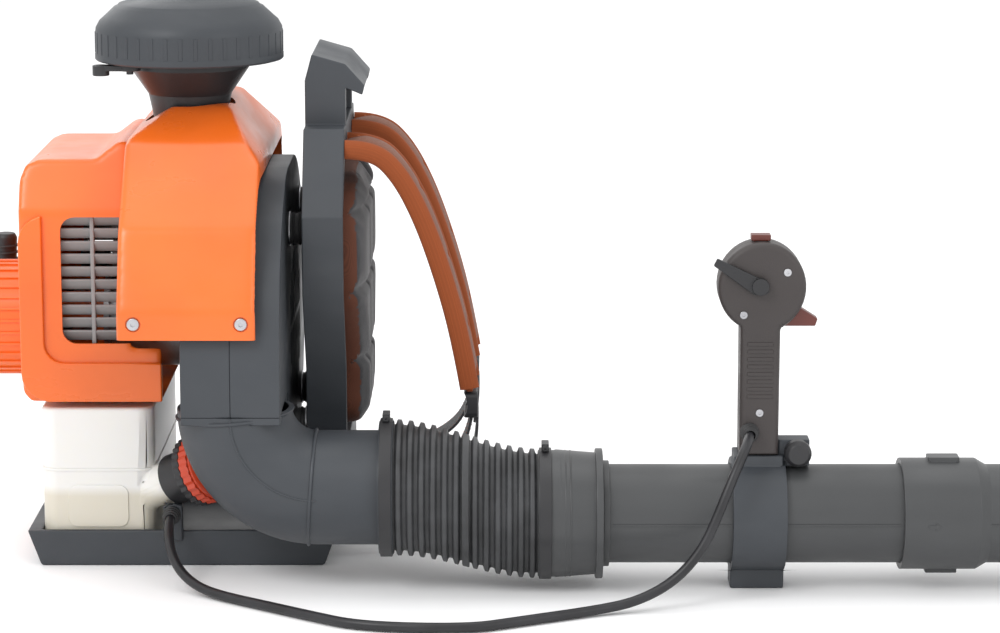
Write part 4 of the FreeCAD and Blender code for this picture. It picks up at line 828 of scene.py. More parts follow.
def screw_head(place, axis, radius, height=0.0022):
    """A pan head with a six-lobed recess, its underside at a place."""
    place, axis = Vector(place), Vector(axis).normalized()
    head = soften(cylinder(place, place + axis * height, radius, 24), height * 0.3, 3, 40)
    recess = cylinder(place + axis * height * 0.35, place + axis * height * 2, radius * 0.42, 6)
    return cut_by(head, recess)


def round_copies(piece, count, axis, centre):
    """A ring of copies of a piece round an axis, joined."""
    copies = [piece]
    for index in range(1, count):
        other = linked(piece.name, piece.data.copy())
        turn = Matrix.Rotation(math.tau * index / count, 4, Vector(axis))
        other.data.transform(Matrix.Translation(centre) @ turn @ Matrix.Translation(-Vector(centre)))
        copies.append(other)
    return joined(piece.name, *copies)


class BLOWER_OT_engine_cover(bpy.types.Operator):
    """Makes the orange engine cover: a rounded shell round the fan housing, with slots and screws"""
    bl_idname = "blower.engine_cover"
    bl_label = "Engine cover"

    def execute(self, context):
        shells = context.scene.blower_shells
        low, high = corners("engine_cover")
        top, right, left = high.z, low.y, high.y
        rounds = round(shells.cover_edge * ROUNDS_PER_METRE)
        hull = melted(self.form(low, high, 0), ENGINE_VOXEL, rounds)
        hull.name = "engine_cover_shell"
        below = [(right - 0.01, top - 0.171), (right, top - 0.171), (left, low.z), (left + 0.01, low.z),
                 (left + 0.01, low.z - 0.08), (right - 0.01, low.z - 0.08)]
        cut_by(hull, melted(self.form(low, high, shells.wall), ENGINE_VOXEL, rounds),
               outline_plate(below, "YZ", low.x - 0.01, high.x + 0.03))
        neck = middle_of("filter_cover")
        cutters = [self.rear_opening(low),
                   cylinder((neck.x, neck.y, top - 0.05), (neck.x, neck.y, top + 0.01), 0.038, 64)]
        for index in range(shells.slots):
            level = top - 0.098 + 0.0105 * index
            slot = block((low.x + 0.022, left - 0.045, level), (high.x - 0.03, left + 0.01, level + 0.0052))
            cutters.append(round_edges(slot, 1, 0.0024))
        cut_by(hull, *cutters)
        screws = []
        for x in (low.x + 0.014, high.x - 0.012):
            place = Vector((x, right, top - 0.158))
            cut_by(hull, cylinder(place + Vector((0, 0.0015, 0)), place - Vector((0, 0.01, 0)), 0.0062, 32))
            screws.append(screw_head(place + Vector((0, 0.0014, 0)), (0, -1, 0), 0.005))
        hand_over(hull, "engine_cover_shell", "root", "orange_shell", ["engine_cover"], 32)
        hand_over(screws, "engine_cover_screws", "root", "steel")
        return {"FINISHED"}

    def form(self, low, high, inset):
        """The cover's outside, or with an inset the room in it, open below and in front."""
        top, right, left, sill = high.z - inset, low.y + inset, high.y - inset, high.z
        section = [(right, low.z - 0.03 - inset), (right, sill - 0.148), (right + 0.026, sill - 0.086),
                   (right + 0.088, sill - 0.024 - inset / 2), (low.y + 0.146, top), (high.y - 0.088, top),
                   (left - 0.026, sill - 0.038), (left, sill - 0.104), (left, low.z - 0.03 - inset)]
        hull = outline_plate(section, "YZ", low.x - 0.001, high.x + 0.02)
        back, front = low.x + inset, high.x - inset
        side = [(back, low.z - 0.05), (back, top - 0.023), (low.x + 0.036, top),
                (high.x - 0.03 - inset, top), (front, top - 0.04)]
        floor, ahead = low.z - 0.05, high.x + 0.012
        side += [(ahead, sill - 0.086), (ahead, floor)] if inset else [(front, floor)]
        limits = outline_plate(side, "XZ", low.y - 0.01, high.y + 0.01)
        return cut_by(hull, limits, operation="INTERSECT")

    def rear_opening(self, low):
        """Where the rear cover meets the engine cover's rear wall."""
        rear_low, rear_high = corners("rear_cover")
        half = rear_high.y - 0.003
        outline = mirrored([(half, rear_low.z), (half, rear_high.z - 0.056),
                            (half - 0.029, rear_high.z + 0.002)])
        return outline_plate(outline, "YZ", low.x - 0.01, low.x + 0.012)


class BLOWER_OT_rear_cover(bpy.types.Operator):
    """Makes the rear cover: a hooped guard on each side of the starter, with louvred windows"""
    bl_idname = "blower.rear_cover"
    bl_label = "Rear cover"

    def execute(self, context):
        shells = context.scene.blower_shells
        low, high = corners("rear_cover")
        hoop = 0.004
        half = high.y - hoop
        front, lip_top, top = low.x + 0.0915, low.z + 0.046, high.z - 0.014
        hull = melted(self.form(half, 0, 0), REAR_VOXEL, REAR_ROUNDS)
        hull.name = "rear_cover_shell"
        cut_by(hull, melted(self.form(half, shells.wall, 0.006), REAR_VOXEL, REAR_ROUNDS))
        crank = CRANK.z
        drum = cylinder((low.x - 0.01, 0, crank), (low.x + 0.03, 0, crank), 0.0492, 96)
        window = self.window(0.035, 0.05, 0.157, -0.2, 0.2, 0.012)
        cut_by(hull, drum, window)
        hoops = []
        for side in (-1, 1):
            near, far = sorted((side * (half - 0.001), side * high.y))
            outline = [(low.x, low.z + 0.001), (high.x, low.z + 0.001), (high.x, lip_top - 0.002),
                       (front + 0.001, lip_top - 0.002), (front + 0.001, top - 0.044), (low.x, top - 0.044)]
            guard = outline_plate(outline, "XZ", near, far)
            self.round_side(guard, low, front, top - 0.044)
            cut_by(guard, self.window(0.02, 0.034, 0.2, near - 0.01, far + 0.01, 0.017))
            hoops.append(soften(guard, 0.0016, 3, 40))
        hand_over(smooth_all([hull, *hoops], 32), "rear_cover_shell", "root", "orange_shell",
                  ["rear_cover"], 32)
        self.louvres(low, half, crank)
        return {"FINISHED"}

    def form(self, half, inset, overrun):
        """The guard's outside, or with an inset the room in it, open in front."""
        low, high = corners("rear_cover")
        front, lip_top, top = low.x + 0.0915 + overrun, low.z + 0.046 + overrun, high.z - 0.014 - inset
        back, floor, end = low.x + inset, low.z + inset, high.x + overrun
        outline = [(back + 0.007, floor), (end, floor), (end, lip_top), (front, lip_top),
                   (front, high.z - inset), (front - 0.01, high.z - inset), (front - 0.028, top),
                   (back + 0.016, top), (back + 0.005, top - 0.005), (back, top - 0.018),
                   (back, floor + 0.009)]
        hull = outline_plate(outline, "XZ", inset - half, half - inset)
        wide = half - inset
        section = mirrored([(wide, low.z - 0.001), (wide, high.z - 0.056),
                            (wide - 0.028, high.z + 0.006 - inset)])
        limits = outline_plate(section, "YZ", low.x - 0.01, high.x + 0.02)
        return cut_by(hull, limits, operation="INTERSECT")

    def round_side(self, piece, low, front, top):
        """Rounds the guard's corners, widest at the rear."""
        round_edges(piece, 1, 0.024, lambda middle: middle.x < low.x + 0.006)
        round_edges(piece, 1, 0.006,
                    lambda middle: low.x + 0.03 < middle.x < front + 0.001 and middle.z > top - 0.03)

    def window(self, inset, rise, reach, near, far, corner):
        """The guard's opening, running forward under the engine cover."""
        low = corners("rear_cover")[0]
        outline = [(low.x + inset, low.z + rise), (low.x + 0.12, low.z + rise),
                   (low.x + 0.12, low.z + reach), (low.x + inset, low.z + reach)]
        plate = outline_plate(outline, "XZ", near, far)
        return round_edges(plate, 1, corner, lambda middle: middle.x < low.x + inset + 0.001)

    def louvres(self, low, half, crank):
        """Grey slats behind each window, in a thin frame."""
        pieces = []
        for side in (-1, 1):
            across = side * (half - 0.0085)
            for index in range(10):
                level = crank + 0.002 + 0.0108 * index
                slat = block((low.x + 0.03, across - 0.0011, level - 0.0052),
                             (low.x + 0.09, across + 0.0011, level + 0.0052))
                soften(slat, 0.0007, 2)

                def tilt():
                    bpy.ops.transform.rotate(value=side * math.radians(34), orient_axis="X",
                                             center_override=(low.x, across, level))

                pieces.append(edit(slat, tilt))
            for x in (low.x + 0.03, low.x + 0.059):
                bar = block((x, across - 0.004, crank - 0.008),
                            (x + 0.0035, across + 0.0035, crank + 0.108))
                pieces.append(soften(bar, 0.0008, 2))
        hand_over(pieces, "side_louvres", "root", "grille", ["side_grilles"], slot="dark_moulding")


class BLOWER_OT_starter_drum(bpy.types.Operator):
    """Makes the starter housing: a ribbed drum with air slots and a rope guide"""
    bl_idname = "blower.starter_drum"
    bl_label = "Starter drum"

    def execute(self, context):
        low, high = corners("starter_housing")
        crank = CRANK.z
        centre = Vector((0, 0, crank))
        drum, skirt, wall = 0.048, 0.05, 0.003
        back, step, front = low.x, low.x + 0.058, high.x
        profile = [(0, back + 0.003), (0.012, back + 0.003), (0.014, back), (drum - 0.012, back),
                   (drum - 0.008, back + 0.0006), (drum - 0.003, back + 0.0025),
                   (drum - 0.0006, back + 0.006), (drum, back + 0.01), (drum, step - 0.001),
                   (skirt, step + 0.001), (skirt, front), (skirt - wall, front),
                   (skirt - wall, step + 0.003), (drum - wall, step), (drum - wall, back + 0.011),
                   (drum - 0.012, back + wall), (0, back + wall + 0.001)]
        housing = turned(profile, centre, "X", 96, "starter_drum")
        slot = block((back - 0.005, -0.0025, crank + 0.019), (back + 0.012, 0.0025, crank + 0.037))
        round_edges(slot, 0, 0.0024)
        window = block((step + 0.006, -0.0075, crank + 0.03), (front - 0.006, 0.0075, crank + 0.07))
        round_edges(window, 2, 0.003)
        cut_by(housing, round_copies(slot, 18, (1, 0, 0), centre),
               round_copies(window, 8, (1, 0, 0), centre))
        ribs = block((back + 0.01, -0.0012, crank + drum - 0.001),
                     (step - 0.002, 0.0012, crank + drum + 0.0016))
        soften(ribs, 0.0006, 2)
        ribs = round_copies(ribs, 30, (1, 0, 0), centre)
        grip = middle_of("starter_grip")
        rope = Vector((grip.x, 0, grip.z))
        guide = cylinder(rope + Vector((0, 0.034, 0)), rope + Vector((0, 0.046, 0)), 0.008, 32)
        cut_by(guide, cylinder(rope, rope + Vector((0, 0.06, 0)), 0.0032, 24))
        soften(guide, 0.0012, 3, 40)
        hand_over(smooth_all([housing, ribs, guide], 30), "starter_drum", "root", "orange_shell",
                  ["starter_housing"], 30)
        self.grip(rope)
        return {"FINISHED"}

    def grip(self, rope):
        """The pull grip: a waisted bar with finger rings."""
        dress("starter_grip", "black_plastic", 0.0012, 3)
        rings = [ring_of(rope + Vector((0, 0.061, offset)), (0, 0, 1), 0.0012, 0.0096, (40, 8))
                 for offset in (-0.024, -0.018, -0.012, 0.012, 0.018, 0.024)]
        hand_over(rings, "starter_grip_bands", "starter_grip", "rubber_black")


class BLOWER_OT_air_filter(bpy.types.Operator):
    """Makes the air filter's domed cover, with its ribbed skirt and stepped roof"""
    bl_idname = "blower.air_filter"
    bl_label = "Air filter"

    def execute(self, context):
        low, high = corners("filter_cover")
        centre = Vector(((low.x + high.x) / 2, (low.y + high.y) / 2, 0))
        radius = (high.x - low.x) / 2
        roof = high.z
        profile = [(0.0044, roof - 0.003), (0.0044, roof), (0.026, roof), (0.028, roof - 0.0012),
                   (0.031, roof - 0.0012), (0.033, roof), (0.038, roof - 0.0008), (0.05, roof - 0.0035),
                   (0.0585, roof - 0.0062), (0.0605, roof - 0.0085), (0.0625, roof - 0.009),
                   (radius - 0.0085, roof - 0.0165), (radius - 0.004, roof - 0.0205),
                   (radius - 0.001, roof - 0.026), (radius - 0.0006, roof - 0.03),
                   (radius - 0.0006, low.z + 0.006), (radius, low.z + 0.005), (radius, low.z + 0.001),
                   (radius - 0.001, low.z), (radius - 0.003, low.z), (radius - 0.003, roof - 0.028),
                   (radius - 0.011, roof - 0.019), (0.045, roof - 0.006), (0.033, roof - 0.003)]
        cover = turned(profile + [profile[0]], centre, "Z", 128, "filter_cover_finished")
        rib = block((centre.x + radius - 0.0016, centre.y - 0.0016, low.z + 0.006),
                    (centre.x + radius - 0.0001, centre.y + 0.0016, roof - 0.029))
        soften(rib, 0.0006, 2)
        ribs = round_copies(rib, 40, (0, 0, 1), centre)
        hand_over(smooth_all([cover, ribs]), "filter_cover_finished", "root", "dark_moulding",
                  ["filter_cover"], slot="black_plastic")
        return {"FINISHED"}


class BLOWER_OT_fuel_system(bpy.types.Operator):
    """Makes the milky tank with its moulding seam, and the knurled cap on its neck"""
    bl_idname = "blower.fuel_system"
    bl_label = "Fuel tank and cap"

    def execute(self, context):
        tank = copy_of("fuel_tank")
        soften(tank, 0.0032, 4, 40)
        low, high = corners("fuel_tank")
        rear_x, front_x = low.x, low.x + 0.095
        proud = 0.0009
        level = (low.z + high.z) / 2 + 0.008
        half = high.y
        seam = block((rear_x - proud, -half - proud, level),
                     (front_x + proud, half + proud, level + 0.0022))
        round_edges(seam, 2, 0.0145)
        soften(seam, 0.0006, 2, 40)
        pads = []
        for side in (-1, 1):
            pad = block((rear_x + 0.022, side * half - 0.0012, low.z + 0.022),
                        (front_x - 0.022, side * half + 0.0012, level - 0.012))
            pads.append(soften(round_edges(pad, 1, 0.008), 0.0009, 2, 40))
        hand_over(smooth_all([tank, seam, *pads]), "fuel_tank_finished", "root", "tank_plastic",
                  ["fuel_tank"])
        self.cap()
        return {"FINISHED"}

    def cap(self):
        """The cap on its neck: black skirt, knurled red grip with its bar, and the collar below."""
        joint = next(joint for joint in frame["joints"] if joint["name"] == "fuel_cap_turn")
        axis, place = Vector(joint["axis"]).normalized(), Vector(joint["pos_m"])
        radius, ridge = 0.03, 0.0011
        points = []
        for index in range(112):
            reach = radius - (0, ridge, ridge, 0)[index % 4]
            angle = math.tau * index / 112
            points.append((reach * math.cos(angle), reach * math.sin(angle)))
        skirt = outline_plate(points, "XY", 0.0003, 0.0068, "fuel_cap_skirt")
        grip = outline_plate(points, "XY", 0.0072, 0.0158, "fuel_cap_grip")
        for part in (skirt, grip):
            soften(part, 0.0008, 2, 60)
        collar = turned([(0.0172, -0.022), (0.021, -0.022), (0.0215, -0.0205), (0.0215, -0.001),
                         (0.0172, -0.001), (0.0172, -0.022)], (0, 0, 0), "Z", 64, "filler_collar")
        top = turned([(0, 0.0158), (radius - 0.0022, 0.0158), (radius - 0.0022, 0.0175),
                      (radius - 0.004, 0.0196), (radius - 0.0075, 0.0212), (radius - 0.009, 0.0205),
                      (radius - 0.011, 0.0205), (radius - 0.0125, 0.0215), (0, 0.0222)], (0, 0, 0), "Z", 96,
                     "fuel_cap_top")
        bar = block((-0.0195, -0.0042, 0.0205), (0.0195, 0.0042, 0.0262))
        round_edges(bar, 2, 0.004)
        soften(bar, 0.0014, 3, 40)
        top = joined("fuel_cap_top", *smooth_all([top, bar, grip]))
        turn = axis.to_track_quat("Z", "Y").to_matrix().to_4x4()
        for piece, kind, body, nodes in ((skirt, "black_plastic", "fuel_cap", []),
                                         (top, "red_plastic", "fuel_cap", ["fuel_cap"]),
                                         (collar, "black_plastic", "root", [])):
            piece.data.transform(Matrix.Translation(place) @ turn)
            hand_over(piece, piece.name, body, kind, nodes)


# ---------------------------------------------------------------- hose and cable
def spline_points(points, closeness):
    """A smooth line through a spline's control points, as a row of points, and the spline itself."""
    line = bpy.data.curves.new("route", "CURVE")
    line.dimensions = "3D"
    spline = line.splines.new("NURBS")
    spline.points.add(len(points) - 1)
    for control, point in zip(spline.points, points):
        control.co = (*point, 1)
    spline.order_u = 3
    spline.use_endpoint_u = True
    line.resolution_u = closeness
    route = linked("route", line)
    bpy.context.view_layer.update()
    mesh = bpy.data.meshes.new_from_object(route)
    return [point.co.copy() for point in mesh.vertices], route


def smooth_line(points, closeness):
    """The points of a smooth line alone."""
    line, route = spline_points(points, closeness)
    bpy.data.objects.remove(route)
    return line


def harness_line(run):
    """Points 3 mm apart along one of the harness's lines."""
    return evenly(smooth_line([Vector((x, 0, z)) * MM for x, z in run], 16), 0.003)


def tube_round(route, radius, name, sides=6):
    """A closed round tube that follows a spline."""
    route.data.bevel_depth = radius
    route.data.bevel_resolution = sides
    route.data.use_fill_caps = True
    bpy.context.view_layer.update()
    tube = linked(name, bpy.data.meshes.new_from_object(route))
    bpy.data.objects.remove(route)
    return edit(tube, weld, outward)


HOSE_Y, HOSE_HIGH = TUBE.y, 0.082
HOSE_START, HOSE_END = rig.box("hose_rear")[0][0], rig.box("hose_front")[1][0]


def hose_height(x):
    """The hose's middle line, easing down from the outlet to the tube."""
    share = min(max((x - HOSE_START) / (HOSE_END - HOSE_START), 0), 1)
    return HOSE_HIGH - (HOSE_HIGH - TUBE.z) * share * share * (3 - 2 * share)


class BLOWER_OT_hose(bpy.types.Operator):
    """Makes the corrugated hose in two bending halves, its middle ring and its clamps"""
    bl_idname = "blower.hose"
    bl_label = "Hose"

    def execute(self, context):
        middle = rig.box("hose_middle_ring")
        self.half("hose_rear", HOSE_START, middle[0][0], "root", "hose_middle")
        self.half("hose_front", middle[1][0], HOSE_END, "hose_middle", "hose_cuff")
        dress("hose_middle_ring", "hose", 0.0012, 3)
        for node in ("hose_clamp_rear", "hose_clamp_front"):
            low, high = corners(node)
            head = screw_head(((low.x + high.x) / 2, HOSE_Y - 0.0075, high.z - 0.0034), (0, -1, 0), 0.0027)
            dress(node, "black_plastic", 0.0006, 2, [head])
        return {"FINISHED"}

    def half(self, node, start, end, near, far):
        """One half of the hose, its ridges turned on a straight axis and then lowered to its line."""
        ribs = bpy.context.scene.blower_hose
        count = round((end - start) / ribs.pitch)
        outer, inner = [], []
        for index in range(count * 14 + 1):
            place = start + (end - start) * index / (count * 14)
            base = 0.056 - 0.003 * (place - HOSE_START) / (HOSE_END - HOSE_START)
            wave = min(max(0.5 - 0.82 * math.cos(math.tau * index / 14), 0), 1)
            wave = wave * wave * (3 - 2 * wave)
            outer.append((base - ribs.depth * (1 - wave), place))
            inner.append((base - ribs.depth - 0.0016 + ribs.depth * 0.3 * wave, place))
        profile = outer + inner[::-1]
        hose = turned(profile + [profile[0]], (0, HOSE_Y, 0), "X", 96, node + "_corrugated")
        for point in hose.data.vertices:
            point.co.z += hose_height(point.co.x)
        hose.data.name = hose.name
        height = hose_height((start + end) / 2)
        hand_over_bending(hose, node, "hose", near, far, (start, HOSE_Y, height), (end, HOSE_Y, height))


# The cable's line in millimetres, and for each length its two bodies and where the bending starts.
CABLE_RUNS = {
    "throttle_cable_rear": [
        (-20, -118, 46), (-20, -135, 46), (-19.5, -151, 40), (-16.5, -168, 28), (-7, -185, 15),
        (10, -202, 6.5), (33, -220, 4.3), (64, -243, 4.3), (102, -272, 4.3), (146, -304, 4.3),
        (190, -307, 4.3)],
    "throttle_cable_middle": [(190, -307, 4.3), (231, -309.8, 4.3), (268, -291, 4.3), (304, -273, 4.3)],
    "throttle_cable_front": [
        (304, -273, 4.3), (334, -258, 4.3), (366, -249, 9), (396, -242, 24), (418, -237, 49),
        (430.5, -232, 77), (440, -226.5, 100), (448.5, -217, 117), (454.5, -205.5, 127.5),
        (457.5, -193.5, 132), (458, -181, 132)],
}
CABLE_BENDS = {
    "throttle_cable_rear": ("root", "hose_middle", 0.03),
    "throttle_cable_middle": ("hose_middle", "hose_cuff", 0.19),
    "throttle_cable_front": ("hose_cuff", "blower_tube", 0.304),
}
HANDLE_X = 0.43    # where the cable's front length ends its bending
BOOTS = {
    "gland_boot": ((-0.02, -0.1185, 0.046), "root"),
    "handle_boot": ((0.458, -0.1812, 0.132), "blower_tube"),
}
BOOT_PROFILE = [
    (0.0041, 0), (0.0078, 0), (0.0078, 0.002), (0.007, 0.0026), (0.007, 0.0036), (0.0074, 0.0042),
    (0.0072, 0.0056), (0.0063, 0.0062), (0.0063, 0.0072), (0.0068, 0.0078), (0.0064, 0.0092),
    (0.0055, 0.0098), (0.0055, 0.0108), (0.0059, 0.0114), (0.005, 0.0128), (0.0041, 0.0128), (0.0041, 0),
]


class BLOWER_OT_throttle_cable(bpy.types.Operator):
    """Makes the throttle cable's three lengths, with the boots where it leaves and enters"""
    bl_idname = "blower.throttle_cable"
    bl_label = "Throttle cable"

    def execute(self, context):
        breadth = context.scene.blower_hose.cable
        for node, run in CABLE_RUNS.items():
            route = [Vector(point) * MM for point in run]
            path, line = spline_points(route, 8)
            cable = tube_round(line, breadth / 2, node + "_sheath")
            near, far, start = CABLE_BENDS[node]
            end = HANDLE_X if far == "blower_tube" else path[-1].x
            hand_over_bending(cable, node, "cable_sheath", near, far, (start, 0, 0), (end, 0, 0))
            length = sum((after - point).length for point, after in zip(path, path[1:]))
            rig.cord(cable, path[0], length, breadth, "object", "stiff", "loose", path=path)
        self.boots()
        return {"FINISHED"}

    def boots(self):
        """Ribbed rubber boots, one at the base's gland and one at the handle."""
        for name, (place, body) in BOOTS.items():
            boot = turned(BOOT_PROFILE, place, (0, -1, 0), 40, name)
            hand_over(boot, name, body, "rubber_black")


# ---------------------------------------------------------------- harness
def swept(points, section, across, name, squeeze=None):
    """A closed section carried along a line in an upright plane; across is its place on the Y axis."""
    places, faces = [], []
    count = len(section)
    for index, point in enumerate(points):
        before, after = points[max(index - 1, 0)], points[min(index + 1, len(points) - 1)]
        run = (after - before).normalized()
        outward_way = Vector((-run.z, 0, run.x))
        share = squeeze(index / (len(points) - 1)) if squeeze else 1
        for wide, thick in section:
            places.append(Vector((point.x, across + wide, point.z)) + outward_way * thick * share)
    for row in range(len(points) - 1):
        for column in range(count):
            beside = (column + 1) % count
            faces.append((row * count + column, row * count + beside, (row + 1) * count + beside,
                          (row + 1) * count + column))
    faces.append(tuple(range(count - 1, -1, -1)))
    faces.append(tuple(range(len(places) - count, len(places))))
    return edit(piece_from(name, places, faces=faces), outward)


def evenly(points, spacing):
    """Points a fixed distance apart along a line."""
    placed, carried = [points[0]], 0
    for point, after in zip(points, points[1:]):
        length = (after - point).length
        while carried + length >= spacing:
            share = (spacing - carried) / length
            point = point.lerp(after, share)
            length -= spacing - carried
            carried = 0
            placed.append(point)
        carried += length
    return placed


# A stitch is a double wedge: its two ends, two sides, top and underside.
STITCH_FACES = ((0, 2, 4), (0, 4, 3), (0, 5, 2), (0, 3, 5), (1, 4, 2), (1, 3, 4), (1, 2, 5), (1, 5, 3))


def stitches(line, offsets, name, length=0.003, thick=0.0005):
    """Rows of raised thread along a line: offsets are (across, proud) pairs."""
    places, faces = [], []
    marks = evenly(line, length * 1.5)
    for across, proud in offsets:
        for point, after in zip(marks, marks[1:]):
            run = (after - point).normalized()
            up = Vector((-run.z, 0, run.x))
            middle = Vector((point.x, across, point.z)) + up * proud
            first = len(places)
            ends = (middle - run * length / 2, middle + run * length / 2)
            side, rise = Vector((0, thick, 0)), up * thick * (1 if proud > 0 else -1)
            places += [ends[0], ends[1], middle + side, middle - side, middle + rise, middle - rise * 0.4]
            faces += [tuple(first + corner for corner in face) for face in STITCH_FACES]
    return edit(piece_from(name, places, faces=faces), outward)


def sewn_rows(across, reach, proud):
    """Four rows of thread: on both sides of the middle, above and below."""
    return [(across + side * reach, face * proud) for side in (-1, 1) for face in (-1, 1)]


# The harness's lines as (X, Z) points, the first two in millimetres and the tail's in metres.
STRAP_RUN = [(126.3, 351), (150, 351), (172, 330), (191, 293), (208, 244), (222, 192), (230, 146)]
WEBBING_RUN = [(231, 122), (226, 96), (204, 74), (168, 60), (136.3, 54)]
TAIL_RUN = [(0.2355, 0.127), (0.2362, 0.118), (0.2345, 0.1), (0.2325, 0.088)]


class BLOWER_OT_shoulder_straps(bpy.types.Operator):
    """Makes the padded shoulder straps: a crowned foam body, piped edges and sewn lines"""
    bl_idname = "blower.shoulder_straps"
    bl_label = "Shoulder straps"

    def execute(self, context):
        soft = context.scene.blower_soft
        half = soft.strap_width / 2
        line = harness_line(STRAP_RUN)
        for name in ("shoulder_strap_right", "shoulder_strap_left"):
            across = middle_of(name).y
            section = self.section(half - 0.0012, soft.strap_crown / 2)
            strap = swept(line, section, across, name + "_padded", self.squeeze)
            modify(strap, "SUBSURF", levels=1)
            hand_over(strap, strap.name, "root", "strap_fabric", [name], 60)
            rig.padded(strap, 0.75)
            pipes = []
            for side in (-1, 1):
                ring = [(side * (half - soft.binding) + soft.binding * math.cos(math.tau * step / 20),
                         0.0082 * math.sin(math.tau * step / 20)) for step in range(20)]
                pipes.append(swept(line, ring, across, "pipe"))
            for point in (line[0], line[-1]):
                low = Vector((point.x - 0.003, across - half + 0.002, point.z - 0.003))
                pipes.append(soften(block(low, low + Vector((0.006, 2 * half - 0.004, 0.006))), 0.002, 3))
            hand_over(pipes, name + "_binding", "root", "binding", (), 60, "strap_fabric")
            sewn = stitches(line[3:-2], sewn_rows(across, half - 0.0072, 0.0061), name + "_stitching")
            hand_over(sewn, sewn.name, "root", "thread", slot="strap_fabric")
        return {"FINISHED"}

    def section(self, half, crown):
        """The strap across its width: crowned, drawn in at the sewn line, thin at the edge."""
        shares = [(-0.97, 0.5), (-0.9, 0.82), (-0.78, 0.8), (-0.74, 0.62), (-0.66, 0.84), (-0.5, 0.92),
                  (-0.25, 0.99), (0, 1), (0.25, 0.99), (0.5, 0.92), (0.66, 0.84), (0.74, 0.62), (0.78, 0.8),
                  (0.9, 0.82), (0.97, 0.5)]
        upper = [(share * half, crown * rise) for share, rise in shares]
        return upper + [(wide, -thick) for wide, thick in reversed(upper)]

    def squeeze(self, share):
        """Flatter at both ends, with a light crease at each sewn cross seam."""
        ends = min(1, 0.45 + share * 9, 0.45 + (1 - share) * 9)
        seam = min(abs(share - place) for place in (0.3, 0.55, 0.8))
        return ends * (1 - 0.14 * math.exp(-(seam / 0.012) ** 2))


class BLOWER_OT_webbing(bpy.types.Operator):
    """Makes the harness's lower webbing, its ladder-lock buckles and their bars"""
    bl_idname = "blower.webbing"
    bl_label = "Webbing and buckles"

    def execute(self, context):
        line = harness_line(WEBBING_RUN)
        tail = smooth_line([Vector((x, 0, z)) for x, z in TAIL_RUN], 10)
        half = 0.019
        section = [(-half, -0.0007), (-half + 0.0006, -0.0012), (half - 0.0006, -0.0012), (half, -0.0007)]
        section += [(wide, -thick) for wide, thick in reversed(section)]
        webs, frames, sewn = [], [], []
        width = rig.box("harness_webbing")[1][1] - middle_of("shoulder_strap_left").y
        for name in ("shoulder_strap_right", "shoulder_strap_left"):
            across = middle_of(name).y
            webs += [swept(line, section, across, "web"), swept(tail, section, across, "tail")]
            frames.append(self.buckle(across, min(width, 0.0235)))
            sewn.append(stitches(line[2:], sewn_rows(across, half - 0.002, 0.0012), "sewn", 0.0026, 0.00035))
        hand_over(webs, "harness_web", "root", "webbing", ["harness_webbing"], 40, "strap_fabric")
        hand_over(frames, "harness_buckles", "root", "black_plastic")
        hand_over(sewn, "harness_stitching", "root", "thread", slot="strap_fabric")
        return {"FINISHED"}

    def buckle(self, across, half):
        """A ladder-lock: a curved frame with three bars."""
        low, high = Vector((0.2245, across - half, 0.1223)), Vector((0.2365, across + half, 0.1452))
        frame_block = soften(round_edges(block(low, high), 0, 0.005), 0.0016, 3, 40)
        for start, end in ((0.0025, 0.0078), (0.0105, 0.0142), (0.0165, 0.0202)):
            hole = block((low.x - 0.01, low.y + 0.0042, low.z + start),
                         (high.x + 0.01, high.y - 0.0042, low.z + end))
            cut_by(frame_block, round_edges(hole, 0, 0.0012))
        waist = cylinder((low.x - 0.0175, low.y - 0.01, (low.z + high.z) / 2),
                         (low.x - 0.0175, high.y + 0.01, (low.z + high.z) / 2), 0.0205, 64)
        cut_by(frame_block, waist)
        grip = [block((high.x - 0.0004, low.y + 0.006, high.z - 0.0034 + 0.0008 * index),
                      (high.x + 0.0003, high.y - 0.006, high.z - 0.003 + 0.0008 * index))
                for index in range(4)]
        return joined("buckle", smooth(frame_block), *grip)


